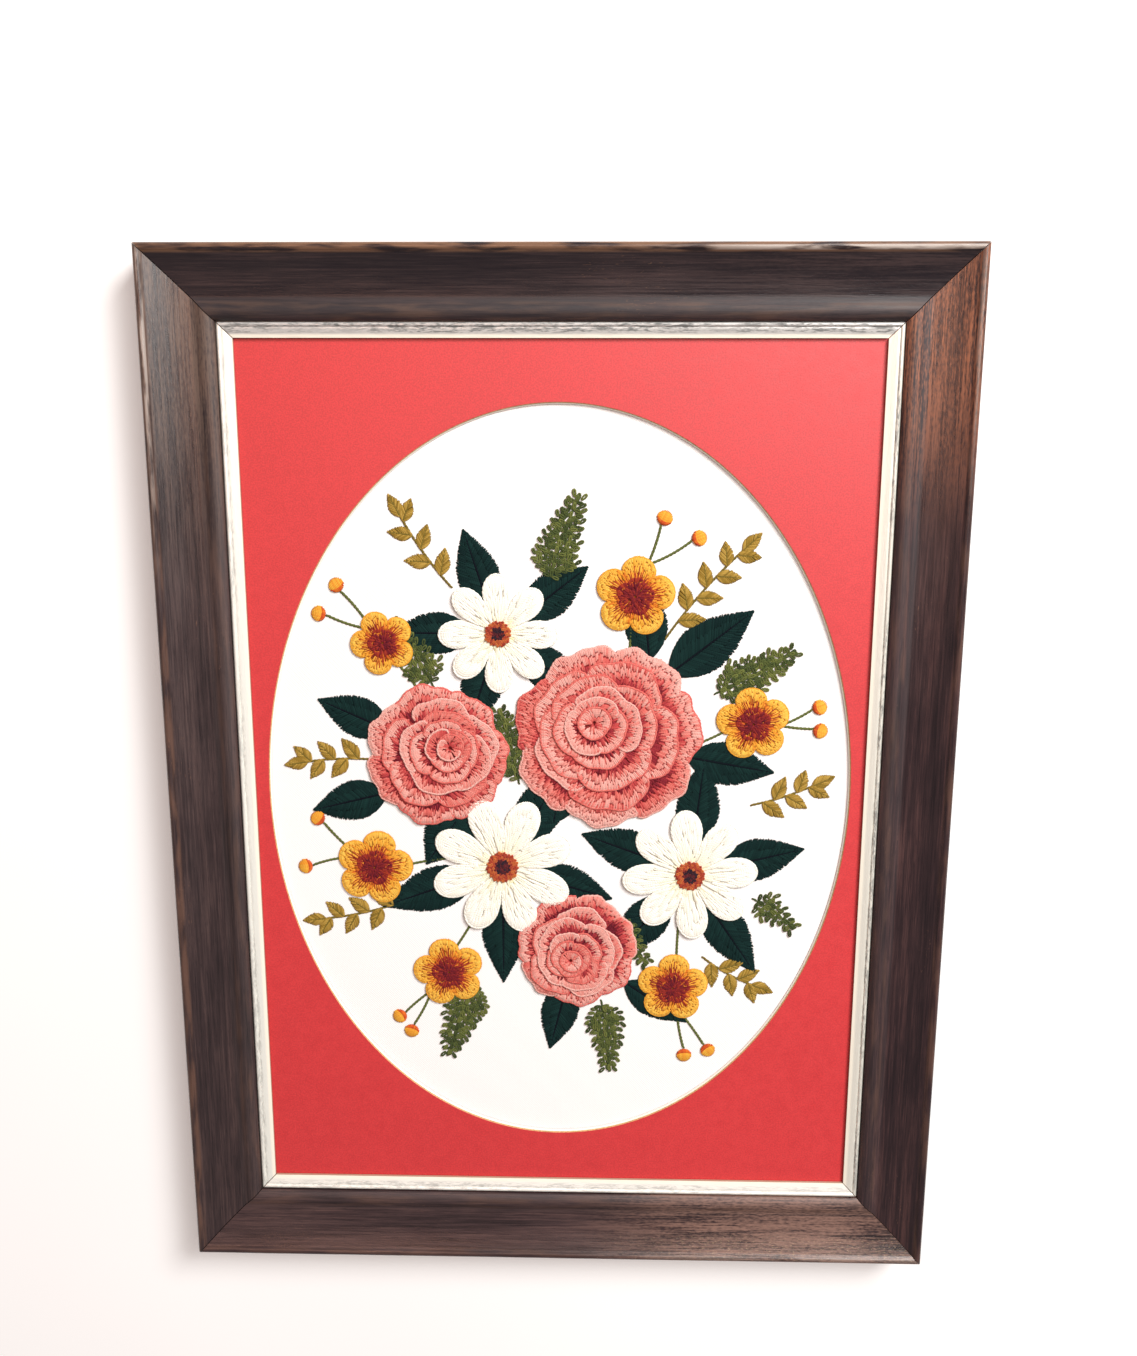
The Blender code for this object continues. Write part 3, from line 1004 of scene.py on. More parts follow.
class Stitcher:
    """Makes the arrays that several motifs share, from one seeded source of chance."""

    def __init__(self, seed: int) -> None:
        """Start the source of chance."""
        self.chance = np.random.default_rng(seed)

    def jitter(self, count: int | tuple[int, ...], spread: float) -> Array:
        """Return even chance between minus and plus the spread."""
        return self.chance.uniform(-spread, spread, count)

    def run(self, line: Array, width: float, stitch: float, shade: float, crown: float = 0.34) -> Surface:
        """Work stem stitches along a line, each slanting a little across it.

        Args:
            line: points of shape (points, 3), in millimetres.
            width: width of the yarn.
            stitch: length of a stitch.
            shade: tone of the yarn.
            crown: height of the yarn.

        Returns:
            The surface of the stitches.
        """
        steps = np.linalg.norm(np.diff(line[:, :2], axis=0), axis=1)
        place = np.concatenate([[0.0], np.cumsum(steps)])
        count = max(2, round(place[-1] / (stitch * 0.62)))
        middle = (np.arange(count) + 0.5) / count * place[-1]
        t = STITCH_AT - 0.5
        at = np.clip(middle[:, None] + t[None, :] * stitch, 0, place[-1])
        path = np.stack([np.interp(at, place, line[:, k]) for k in range(3)], axis=-1)
        _, left = along_path(path)
        path[..., :2] += left * (t * width * 0.55)[None, :, None]
        path[..., 2] -= np.abs(t)[None, :] * 0.25
        return lay_yarn(path, shade + self.jitter(count, 0.06), width, crown)

    def knots(self, places: Array, radius: Array, shade: Array) -> Surface:
        """Work French knots: a ring that swells, closes over and dips at its middle.

        Args:
            places: points of shape (knots, 3), in millimetres.
            radius: radius of each knot.
            shade: tone of each knot.

        Returns:
            The surface of the knots.
        """
        count, turns = len(places), 9
        out = np.array([0.95, 1.08, 0.92, 0.55, 0.16])
        up = np.array([-0.25, 0.35, 0.80, 0.95, 0.72])
        angle = np.linspace(0, 2 * math.pi, turns, endpoint=False)
        lean = self.chance.uniform(0, 6.28, count)
        lump = 1 + 0.10 * np.sin(3 * angle + 3 * out[:, None] + lean[:, None, None])
        reach = radius[:, None, None] * out[None, :, None] * lump
        points = np.empty((count, len(out), turns, 3))
        points[..., 0] = places[:, 0, None, None] + reach * np.cos(angle)
        points[..., 1] = places[:, 1, None, None] + reach * np.sin(angle)
        points[..., 2] = places[:, 2, None, None] + radius[:, None, None] * up[None, :, None]
        quads = grid(len(out), turns, wrap_columns=True)[:, ::-1]
        cap = np.arange(turns) + (len(out) - 1) * turns
        first = (np.arange(count) * len(out) * turns)[:, None]
        corners = np.concatenate([(part.reshape(-1)[None] + first).reshape(-1) for part in (quads, cap)])
        sizes = np.concatenate([np.full(len(quads) * count, 4), np.full(count, turns)])
        # how sunk each ring is, which the yarn's finish darkens as painted shade
        sunk = np.array([0.7, 0.1, 0.0, 0.1, 0.8])
        rise = np.linspace(0.2, 0.8, len(out))
        parts = (angle * 1.4, rise[:, None], sunk[:, None], shade[:, None, None])
        spot, rise, tuck, tone = (np.broadcast_to(part, points.shape[:3]).reshape(-1) for part in parts)
        uv = np.stack([spot, rise], axis=-1)
        return Surface(points.reshape(-1, 3), corners, sizes, uv[corners], {"shade": tone, "tuck": tuck})

    def loops(self, places: Array, turn: Array, length: Array, shade: Array, width: float = 0.80) -> Surface:
        """Work detached chain loops.

        A loop of length l runs by x = l (1 - cos p) / 2 and y = 0.2 l sin p times the root of sin(p / 2).

        Args:
            places: points of shape (loops, 3) of the loops' stalk ends, in millimetres.
            turn: direction of each loop, in radians.
            length: length of each loop.
            shade: tone of each loop.
            width: width of the yarn.

        Returns:
            The surface of the loops.
        """
        p = np.linspace(0.05, 2 * math.pi - 0.05, 10)
        x = length[:, None] * (1 - np.cos(p)) / 2
        y = length[:, None] * 0.20 * np.sin(p) * np.sqrt(np.sin(p / 2))
        path = np.empty((len(places), len(p), 3))
        path[..., 0] = places[:, 0:1] + x * np.cos(turn)[:, None] - y * np.sin(turn)[:, None]
        path[..., 1] = places[:, 1:2] + x * np.sin(turn)[:, None] + y * np.cos(turn)[:, None]
        path[..., 2] = places[:, 2:3] + 0.05 * np.sin(p / 2)
        profile = 0.40 + 0.60 * np.sqrt(np.sin(p / 2))
        return lay_yarn(path, shade, width, 0.46, profile)


@dataclass
class Petal:
    """A petal on polar coordinates about its bloom, with a from -1 to 1 across it and s from 0 to 1 outwards.

    Its radius is the base's plus s times the rim's less the base's. Its height is the bloom's dome at that
    radius, plus a crown across the petal and a curl at the rim.
    """

    x: float
    y: float
    turn: float
    half_angle: float
    base: float
    rim: Callable[[Array], Array]
    dome: Callable[[Array], Array]
    curl: float = 0.12
    crown: float = 0.10
    drop: float = 0.0
    pinch: float = 0.86
    lift: float = 0.0
    sweep: float = 0.0

    def point(self, a: Array, s: Array) -> Array:
        """Return the points at places across and outwards."""
        radius = self.base + (self.rim(a) - self.base) * s
        angle = self.turn + self.half_angle * a * (self.pinch + (1 - self.pinch) * s) + self.sweep * (s - 1)
        height = self.dome(radius) + self.lift + self.curl * s**3
        height = height + self.crown * (1 - a**2) * np.sqrt(np.clip(s, 0, 1))
        height = height - self.drop * np.clip((s - 0.90) / 0.10, 0, 1) ** 2
        return np.stack([self.x + radius * np.cos(angle), self.y + radius * np.sin(angle), height], axis=-1)

    def fill(
        self,
        tone: Callable[[Array, Array], Array],
        sew: Stitcher,
        stitch: float = 3.7,
        width: float = 0.76,
        pitch: float = 0.64,
        spread: float = 0.06,
        fray: float = 0.015,
        fullness: float = 0.0,
    ) -> Surface:
        """Fill the petal with lines of stitches from the rim inwards, with staggered ends.

        Args:
            tone: tone at the places across and outwards.
            sew: source of chance.
            stitch: length of a stitch.
            width: width of the yarn.
            pitch: distance between lines at the rim.
            spread: chance in each stitch's tone.
            fray: chance in where the lines end at the rim.
            fullness: least share of the stitches that are kept where the lines crowd together.

        Returns:
            The surface.
        """
        reach = float(self.rim(np.zeros(1))[0])
        count = max(4, round(2 * self.half_angle * reach * 0.94 / pitch))
        place = (np.arange(count) + 0.5) / count * 2 - 1 + sew.jitter(count, 0.30 / count)
        step = stitch / (reach - self.base)
        number = math.ceil(1 / step) + 1
        lengths = [sew.chance.uniform(0.5, 1.4, (count, 1)), sew.chance.uniform(0.8, 1.2, (count, number))]
        lengths = np.concatenate(lengths, axis=1)
        breaks = np.concatenate([np.zeros((count, 1)), np.cumsum(lengths, axis=1)], axis=1)
        outer = 1 - breaks[:, :-1] * step
        outer[:, 0] += sew.jitter(count, fray)
        inner = np.maximum(1 - breaks[:, 1:] * step, 0.0) + 0.01 * step
        middle = (outer + inner) / 2
        dense = (self.base + (reach - self.base) * middle) / reach
        chosen = sew.chance.random(outer.shape) < np.maximum(1.35 * dense, fullness)
        kept = (outer - inner > 0.3 * step) & chosen
        start, end = outer[kept], inner[kept]
        a = np.broadcast_to(place[:, None], outer.shape)[kept]
        made = len(a)
        s = start[:, None] + (end - start)[:, None] * STITCH_AT
        slant = sew.jitter(made, 0.6 / count)[:, None] * (STITCH_AT - 0.5)
        path = self.point(a[:, None] + slant, s)
        path[..., 2] += sew.chance.uniform(0, 0.10, made)[:, None] - 0.12 * (1 - STITCH_SWELL)
        shade = tone(a, (start + end) / 2) + sew.jitter(made, spread) + 0.12 * (sew.chance.random(made) < 0.10)
        return lay_yarn(path, shade, width, 0.30)

    def edge(self, shade: float, sew: Stitcher, width: float = 0.85, depth: float = 0.0) -> Surface:
        """Outline the rim with split stitches.

        Args:
            shade: tone of the yarn.
            sew: source of chance.
            width: width of the yarn.
            depth: how far the line also runs down both sides.

        Returns:
            The surface.
        """
        t = np.linspace(-1, 1, 48)
        a = 0.97 * np.sign(t) * (1 - (1 - np.abs(t)) ** 2)
        line = self.point(a, 0.975 - depth * np.clip((np.abs(t) - 0.72) / 0.28, 0, 1) ** 1.5)
        line[:, 2] += 0.10
        return sew.run(line, width, 3.0, shade, crown=0.32)


@dataclass(frozen=True)
class Spot:
    """A bloom's place, size and turn, in millimetres and degrees."""

    x: float
    y: float
    radius: float
    turn: float
    lift: float = 0.0


@dataclass(frozen=True)
class Blade:
    """A leaf from its stalk end, with its length, width and turn, in millimetres and degrees."""

    x: float
    y: float
    length: float
    width: float
    turn: float


@dataclass(frozen=True)
class Spray:
    """A fern, sprig or stalk from its foot, with its turn, its length and how far it bends sideways."""

    x: float
    y: float
    turn: float
    length: float
    bend: float

    def line(self, count: int = 40, level: float = CLOTH_TOP + 0.12) -> Array:
        """Return points of the stem, which runs straight on by t and aside by the bend times t squared."""
        t = np.linspace(0, 1, count)
        ahead, aside = self.length * t, self.bend * t**2
        turn = math.radians(self.turn)
        x = self.x + ahead * math.cos(turn) - aside * math.sin(turn)
        y = self.y + ahead * math.sin(turn) + aside * math.cos(turn)
        return np.stack([x, y, np.full(count, level)], axis=-1)

    def at(self, t: float) -> tuple[float, float, float]:
        """Return the place on the stem at a share t of it, and the stem's direction there in radians."""
        stem = self.line()
        x, y = (float(np.interp(t, np.linspace(0, 1, len(stem)), stem[:, k])) for k in range(2))
        return x, y, math.radians(self.turn) + 2 * self.bend * t / self.length


def to_world(surface: Surface) -> Surface:
    """Move a motif from the oval's middle to the frame's."""
    surface.points[:, 1] += OVAL_Y
    return surface


def underlay(
    spot: Spot, outline: Callable[[Array], Array], dome: Callable[[Array], Array], inset: float, turns: int,
) -> Surface:
    """Return a low dome under a bloom whose edge dips into the cloth, closed at its middle.

    Args:
        spot: place of the bloom.
        outline: radius of the bloom from the angle.
        dome: height of the stitches from the radius.
        inset: share of the outline that the underlay fills.
        turns: points round it.

    Returns:
        The surface.
    """
    angle = np.linspace(0, 2 * math.pi, turns, endpoint=False)
    share = np.array([1.0, 0.975, 0.90, 0.75, 0.6, 0.45, 0.3, 0.15, 0.02])[:, None]
    radius = outline(angle)[None, :] * inset * share
    height = dome(radius) - 0.16
    height[0] = CLOTH_TOP - 0.15
    x, y = spot.x + radius * np.cos(angle), spot.y + radius * np.sin(angle)
    points = np.stack([x, y, height], axis=-1).reshape(-1, 3)
    quads = grid(len(share), turns, wrap_columns=True)[:, ::-1]
    cap = np.arange(turns) + (len(share) - 1) * turns
    corners = np.concatenate([quads.reshape(-1), cap])
    sizes = np.concatenate([np.full(len(quads), 4), [turns]])
    blank = np.zeros(len(points))
    return Surface(points, corners, sizes, points[corners, :2], {"shade": blank, "tuck": blank})


@dataclass
class Flowers(ABC):
    """Flowers of petals whose radius R falls by a share, the cut, between one petal and the next."""

    spots: tuple[Spot, ...]
    petals: int
    cut: float
    blunt: float
    level: float

    @abstractmethod
    def dome(self, spot: Spot, radius: Array) -> Array:
        """Return the height of the stitches at a radius."""

    def rim(self, spot: Spot, a: Array) -> Array:
        """Return a petal's rim at places across it: R (1 - cut + cut |cos(pi a / 2)| to the bluntness)."""
        return spot.radius * (1 - self.cut + self.cut * np.clip(np.cos(math.pi * a / 2), 0, 1) ** self.blunt)

    def outline(self, spot: Spot, angle: Array) -> Array:
        """Return the flower's radius at angles, as the rim's, with |cos(n (angle - turn) / 2)| for n petals."""
        lobe = np.abs(np.cos(self.petals * (angle - math.radians(spot.turn)) / 2)) ** self.blunt
        return spot.radius * (1 - self.cut + self.cut * lobe)

    def padding(self, name: str, finish: "FeltFinish", inset: float, turns: int = 120) -> bpy.types.Object:
        """Build the low underlay of every flower.

        Args:
            name: name of the object.
            finish: finish of the felt.
            inset: share of the outline that it fills.
            turns: points round each flower.

        Returns:
            The object.
        """
        pads = [
            underlay(spot, partial(self.outline, spot), partial(self.dome, spot), inset, turns)
            for spot in self.spots
        ]
        return to_world(Surface.join(pads)).object(name, [finish.material()])


@dataclass(frozen=True)
class Ruffle:
    """What chance gives one petal of a layered bloom: its rim's ruffles, its tones, its lip and its crease."""

    wide: float
    phase: float
    dip: float
    pale: float
    deep: float
    band: float
    crease: float
    way: float
    hidden: float

    def rim(self, a: Array) -> Array:
        """Return the petal's rim: it dips at the sides, with two ruffles of sines."""
        ruffle = 1 + 0.024 * np.sin(5.2 * a + self.phase) + 0.012 * np.sin(11 * a + 2 * self.phase)
        bow = np.clip(np.cos(math.pi * a / 2), 0, 1) ** 0.6
        return self.wide * (1 - self.dip + self.dip * bow) * ruffle

    def tone(self, a: Array, s: Array) -> Array:
        """Return the petal's tone: deep in the fold within, pale in the middle, and its own lip and crease."""
        t = np.clip((s - self.hidden) / (1 - self.hidden), 0, 1)
        shaded = self.pale + (self.deep - self.pale) * (1 - t) ** 2.5
        shaded = shaded + self.band * np.clip((t - 0.76) / 0.12, 0, 1)
        return shaded + self.crease * np.clip(self.way * a - 0.40, 0, 1) * (1.2 - t)


@dataclass
class LayeredBlooms(Flowers):
    """Coral blooms of overlapping ruffled petals in long and short stitch, light at the rims and deep within.

    The tiers' middles drift towards the bloom's heart, so that the petals show wider on the far side.
    """

    spots: tuple[Spot, ...] = (Spot(20, 22, 38, 8), Spot(-49, 14, 29, 0), Spot(8, -69, 25, 15))
    petals: int = 7
    cut: float = 0.10
    blunt: float = 0.6
    level: float = CLOTH_TOP + 0.52
    rise: float = 0.95
    hearts: tuple[tuple[float, float], ...] = ((-7.0, 8.0), (6.5, 4.5), (-3.5, -5.5))
    tiers: tuple[tuple[float, int, float], ...] = (
        (1.0, 7, 1.04), (0.81, 5, 1.10), (0.64, 4, 1.14), (0.48, 4, 1.12), (0.33, 3, 1.18), (0.19, 2, 1.30),
    )

    def dome(self, spot: Spot, radius: Array) -> Array:
        """Return the height over the cloth: the level plus the rise times (1 - (r / R) squared) to the 0.8."""
        return self.level + self.rise * np.clip(1 - (radius / spot.radius) ** 2, 0, 1) ** 0.8

    def work(self, spot: Spot, heart: tuple[float, float], sew: Stitcher) -> list[Surface]:
        """Work one bloom, tier by tier from the outside.

        Args:
            spot: place, size and turn of the bloom.
            heart: how far the innermost tier stands from its middle.
            sew: source of chance.

        Returns:
            The surfaces of the stitches.
        """
        made = []
        for tier, (scale, count, overlap) in enumerate(self.tiers):
            reach = spot.radius * scale
            inner = spot.radius * (self.tiers[tier + 1][0] if tier + 1 < len(self.tiers) else 0.0)
            base = max(inner * 0.70, 0.5)
            hidden = min(0.85, max(0.0, (inner * 0.92 - base) / (reach - base)))
            x, y = (place + drift * (1 - scale) for place, drift in zip((spot.x, spot.y), heart))
            first = float(sew.chance.random()) if tier else 0.0
            dip = 0.20 if tier else 0.10
            for k in range(count):
                chances = sew.jitter(2, 1.0) * ((0.16, 0.07) if tier else (0.0, 0.015))
                lean, size = (float(v) for v in chances)
                phase, mood, side, fold, lip = (float(v) for v in sew.chance.random(5))
                way = 1.0 if side > 0.5 else -1.0
                lipped = lip > 0.35
                ruffle = Ruffle(
                    reach * (1 + size), phase * 6.28, dip, pale=0.02 + 0.34 * mood**2.5, deep=0.70 + 0.30 * fold,
                    band=0.36 if lipped else -0.04, crease=0.55 * fold if fold > 0.30 else 0.15, way=way,
                    hidden=hidden,
                )
                turn = math.radians(spot.turn) + 2 * math.pi * (k + first) / count + lean
                petal = Petal(
                    x, y, turn, math.pi / count * overlap, base, ruffle.rim, partial(self.dome, spot),
                    curl=0.10 + 0.26 * (tier > 0), crown=0.30, drop=0.42 if tier == 0 else 0.06,
                    lift=0.17 * tier + 0.16 * (k % 2) + 0.06 * mood,
                    sweep=0.0 if tier == 0 else 0.22 * way * mood,
                )
                made.append(petal.fill(ruffle.tone, sew))
                made.append(petal.edge(0.42 if lipped else 0.02, sew, depth=0.30 if tier else 0.0))
        return made

    def build(self, sew: Stitcher) -> list[bpy.types.Object]:
        """Build the blooms and their underlay, and return them."""
        yarn = YarnFinish(
            "coral_yarns",
            (
                (0.0, (0.79, 0.44, 0.38)), (0.20, (0.76, 0.32, 0.27)), (0.40, (0.70, 0.165, 0.135)),
                (0.60, (0.55, 0.070, 0.066)), (0.80, (0.30, 0.022, 0.032)), (1.0, (0.13, 0.006, 0.016)),
            ),
            hollow=(0.55, 0.19, 0.20), end_shade=0.95, seam_shade=0.32,
        )
        material = yarn.material()
        made = []
        for number, (spot, heart) in enumerate(zip(self.spots, self.hearts)):
            stitches = to_world(Surface.join(self.work(spot, heart, sew)))
            made.append(stitches.object(f"coral_bloom_{number + 1}", [material]))
        # the underlay's deep coral is partly painted shade in the gaps between stitches
        felt = FeltFinish("coral_underlay", (0.48, 0.060, 0.058))
        return [*made, self.padding("coral_padding", felt, 0.955)]


@dataclass
class OpenBlossoms(Flowers):
    """White blossoms of eight blunt petals round a knotted rust centre."""

    spots: tuple[Spot, ...] = (
        Spot(-23, -33, 30, 20, 0.30), Spot(54, -36, 28, 50, 0.30), Spot(-24, 64, 24, 0, 0.30),
    )
    petals: int = 8
    cut: float = 0.52
    blunt: float = 0.5
    level: float = CLOTH_TOP + 0.50
    share: float = 0.93

    def dome(self, spot: Spot, radius: Array) -> Array:
        """Return the height over the cloth, which dips at the centre under the knots."""
        share = radius / spot.radius
        dip = 0.25 * np.exp(-(share / 0.16) ** 2)
        return self.level + spot.lift + 0.30 * np.clip(1 - share**2, 0, 1) - dip

    def build(self, sew: Stitcher) -> list[bpy.types.Object]:
        """Build the blossoms, their centres and their underlay, and return them."""
        white = YarnFinish(
            "white_yarns",
            (
                (0.0, (0.95, 0.94, 0.86)), (0.40, (0.91, 0.88, 0.70)), (0.70, (0.83, 0.75, 0.40)),
                (1.0, (0.60, 0.46, 0.16)),
            ),
            hollow=(0.80, 0.77, 0.64), seam_shade=0.06, end_shade=0.08, sheen=0.05,
        )
        rust = YarnFinish(
            "rust_knots",
            (
                (0.0, (0.64, 0.18, 0.045)), (0.35, (0.46, 0.062, 0.028)), (0.7, (0.17, 0.018, 0.020)),
                (1.0, (0.030, 0.012, 0.022)),
            ),
            seam_shade=0.35, end_shade=0.9,
        )
        work, knots = [], []
        for spot in self.spots:
            dome = partial(self.dome, spot)
            for k in range(self.petals):
                turn = math.radians(spot.turn) + 2 * math.pi * k / self.petals + float(sew.jitter(1, 0.03)[0])
                petal = Petal(
                    spot.x, spot.y, turn, math.pi / self.petals * self.share, spot.radius * 0.15,
                    partial(self.rim, spot), dome, curl=0.0, crown=0.40, drop=0.40, pinch=1.0,
                    lift=0.05 * (k % 2),
                )
                work.append(petal.fill(
                    lambda a, s: 0.02 + 0.12 * np.abs(a) ** 3 + 0.60 * (1 - s) ** 3, sew,
                    stitch=8.0, width=0.94, spread=0.04, fray=0.0,
                ))
                work.append(petal.edge(0.04, sew, width=0.80, depth=0.55))
            reach = spot.radius * 0.21
            count = round(3.4 * reach**2 / 0.95)
            number = np.arange(count) + 0.5
            radius = reach * np.sqrt(number / count)
            angle = number * math.pi * (3 - math.sqrt(5))
            height = dome(radius) + 0.42 + 0.25 * (1 - (radius / reach) ** 2)
            x, y = spot.x + radius * np.cos(angle), spot.y + radius * np.sin(angle)
            shade = np.where(radius / reach < 0.52, 0.94, 0.27) + sew.jitter(count, 0.24)
            size = np.full(count, 0.62) + sew.jitter(count, 0.10)
            knots.append(sew.knots(np.stack([x, y, height], axis=-1), size, np.clip(shade, 0, 1)))
        return [
            to_world(Surface.join(work)).object("white_blossoms", [white.material()]),
            to_world(Surface.join(knots)).object("blossom_knots", [rust.material()]),
            self.padding("white_padding", FeltFinish("white_underlay", (0.93, 0.91, 0.80), 0.88), 0.94, 160),
        ]


@dataclass
class GoldenFlowers(Flowers):
    """Golden flowers of five round petals, with red strokes round a maroon middle."""

    spots: tuple[Spot, ...] = (
        Spot(30, 79, 16, 10), Spot(78, 28, 15, 25), Spot(-76, -34, 16, 5),
        Spot(-46, -80, 15, 30), Spot(48, -86, 15, 15), Spot(-70, 60, 13, 40),
    )
    petals: int = 5
    cut: float = 0.32
    blunt: float = 0.6
    level: float = CLOTH_TOP + 0.52
    strokes: int = 11

    def dome(self, spot: Spot, radius: Array) -> Array:
        """Return the height over the cloth: the level plus 0.35 times 1 - (r / R) squared."""
        return self.level + 0.35 * np.clip(1 - (radius / spot.radius) ** 2, 0, 1)

    def middle(self, spot: Spot, a: Array) -> Array:
        """Return the rim of one fifth of the maroon middle: R (0.40 + 0.10 |cos(pi a / 2)|)."""
        return spot.radius * (0.40 + 0.10 * np.clip(np.cos(math.pi * a / 2), 0, 1))

    def stroke(self, petal: Petal, sew: Stitcher) -> Surface:
        """Return the red strokes that fan out over one petal."""
        count = self.strokes
        a = np.linspace(-0.85, 0.85, count) + sew.jitter(count, 0.05)
        start = 0.20 + sew.jitter(count, 0.05)
        end = 0.70 - 0.22 * np.abs(a) + sew.jitter(count, 0.12)
        s = start[:, None] + (end - start)[:, None] * STITCH_AT[None, :]
        path = petal.point(np.broadcast_to(a[:, None], s.shape), s)
        path[..., 2] += 0.16
        return lay_yarn(path, 0.70 + sew.jitter(count, 0.10), 0.55, 0.24)

    def build(self, sew: Stitcher) -> list[bpy.types.Object]:
        """Build the flowers and their underlay, and return them."""
        yarn = YarnFinish(
            "golden_yarns",
            (
                (0.0, (0.84, 0.52, 0.085)), (0.25, (0.78, 0.37, 0.035)), (0.48, (0.66, 0.17, 0.014)),
                (0.66, (0.38, 0.040, 0.012)), (0.84, (0.19, 0.010, 0.014)), (1.0, (0.10, 0.004, 0.014)),
            ),
            hollow=(0.60, 0.32, 0.16),
        )
        work = []
        for spot in self.spots:
            dome = partial(self.dome, spot)
            for k in range(self.petals):
                turn = math.radians(spot.turn) + 2 * math.pi * k / self.petals
                petal = Petal(
                    spot.x, spot.y, turn, math.pi / self.petals * 0.98, spot.radius * 0.22,
                    partial(self.rim, spot), dome, curl=0.0, crown=0.26, drop=0.45, pinch=1.0,
                    lift=0.04 * (k % 2),
                )
                heart = Petal(
                    spot.x, spot.y, turn, math.pi / self.petals, 0.3, partial(self.middle, spot), dome,
                    curl=0.0, crown=0.08, drop=0.10, pinch=1.0, lift=0.26,
                )
                work += [
                    petal.fill(
                        lambda a, s: 0.04 + 0.26 * a**4 + 0.52 * (1 - s) ** 1.5, sew,
                        stitch=3.2, pitch=0.60, spread=0.10,
                    ),
                    petal.edge(0.24, sew, width=0.60),
                    self.stroke(petal, sew),
                    heart.fill(
                        lambda a, s: 0.88 - 0.14 * s**2, sew, stitch=2.6, pitch=0.60, spread=0.12, fullness=0.8,
                    ),
                ]
        return [
            to_world(Surface.join(work)).object("golden_flowers", [yarn.material()]),
            # the underlay's deep amber is partly painted shade in the gaps between stitches
            self.padding("golden_padding", FeltFinish("golden_underlay", (0.55, 0.20, 0.020)), 0.92),
        ]


@dataclass
class LeafWork:
    """Leaves in slanting stitches on both sides of a midrib."""

    name: str
    blades: tuple[Blade, ...]
    finish: YarnFinish
    pad: Colour
    dome: float = 0.22
    slant: float = 0.17
    rows: tuple[tuple[float, float], ...] = ((0.0, 0.56), (0.46, 1.0))
    width: float = 0.78
    pitch: float = 0.60
    rib_shade: float = 0.95
    ragged: float = 0.03
    tone: float = 0.30
    spread: float = 0.16

    def half_width(self, blade: Blade, t: Array) -> Array:
        """Return half the leaf's width: w / 2 times sin(pi t to the 0.8)."""
        return blade.width / 2 * np.sin(math.pi * np.clip(t, 0, 1) ** 0.8)

    def place(self, blade: Blade, along: Array, across: Array, height: Array) -> Array:
        """Turn a leaf's own coordinates to the motif's."""
        turn = math.radians(blade.turn)
        x = blade.x + along * math.cos(turn) - across * math.sin(turn)
        y = blade.y + along * math.sin(turn) + across * math.cos(turn)
        return np.stack([x, y, height], axis=-1)

    def work(self, blade: Blade, sew: Stitcher) -> list[Surface]:
        """Work one leaf.

        A stitch runs from the midrib at t0 to the edge at te, where t0 = te - slant times the root of
        sin(pi te). At a share q of the way it stands q times the half width aside, and the dome's height times
        1 - q squared up.

        Args:
            blade: place, size and turn of the leaf.
            sew: source of chance.

        Returns:
            The surfaces of its stitches and its midrib.
        """
        made = []
        count = round(blade.length / self.pitch)
        for way in (-1.0, 1.0):
            for start, end in self.rows:
                te = np.clip((np.arange(count) + 0.5) / count + sew.jitter(count, 0.3 / count), 0.015, 0.992)
                t0 = np.clip(te - self.slant * np.sqrt(np.sin(math.pi * te)), 0, 1)
                first = np.maximum(start + sew.jitter(count, self.ragged * 2) * (start > 0), 0.01)
                last = end + sew.jitter(count, self.ragged if end >= 1 else self.ragged * 3)
                q = first[:, None] + (last - first)[:, None] * STITCH_AT[None, :]
                along = blade.length * (t0[:, None] + (te - t0)[:, None] * q)
                across = way * self.half_width(blade, te)[:, None] * q
                groove = 0.12 * np.exp(-((q / 0.12) ** 2))
                height = CLOTH_TOP + 0.10 + self.dome * (1 - q**2) - groove - 0.12 * (q > 0.95)
                path = self.place(blade, along, across, height)
                path[..., 2] += sew.chance.uniform(0, 0.05, count)[:, None]
                tone = self.tone + sew.jitter(count, self.spread) + 0.08 * (start > 0)
                made.append(lay_yarn(path, tone, self.width, 0.25))
        t = np.linspace(0.0, 0.93, 30)
        flat = np.zeros(30)
        rib = self.place(blade, blade.length * t, flat, flat + CLOTH_TOP + 0.12 + self.dome)
        made.append(sew.run(rib, 0.7, 2.6, self.rib_shade, crown=0.22))
        return made

    def pads(self, blade: Blade) -> Surface:
        """Return the low underlay of one leaf, whose edge dips into the cloth."""
        t, q = np.meshgrid(np.linspace(0.01, 0.985, 26), np.linspace(-1, 1, 9), indexing="ij")
        across = self.half_width(blade, t) * q * 0.93
        height = CLOTH_TOP - 0.02 + (self.dome + 0.02) * (1 - q**2) - 0.12 * (np.abs(q) > 0.99)
        points = self.place(blade, blade.length * t, across, height).reshape(-1, 3)
        corners = grid(*t.shape).reshape(-1)
        blank = np.zeros(len(points))
        values = {"shade": blank, "tuck": blank}
        return Surface(points, corners, np.full(len(corners) // 4, 4), points[corners, :2], values)

    def build(self, sew: Stitcher) -> list[bpy.types.Object]:
        """Build the leaves and their underlay, and return them."""
        work = [part for blade in self.blades for part in self.work(blade, sew)]
        pads = [self.pads(blade) for blade in self.blades]
        # the underlay's deep tone is partly painted shade in the gaps between stitches
        felt = FeltFinish(f"{self.name}_underlay", self.pad).material()
        return [
            to_world(Surface.join(work)).object(self.name, [self.finish.material()]),
            to_world(Surface.join(pads)).object(f"{self.name}_padding", [felt]),
        ]


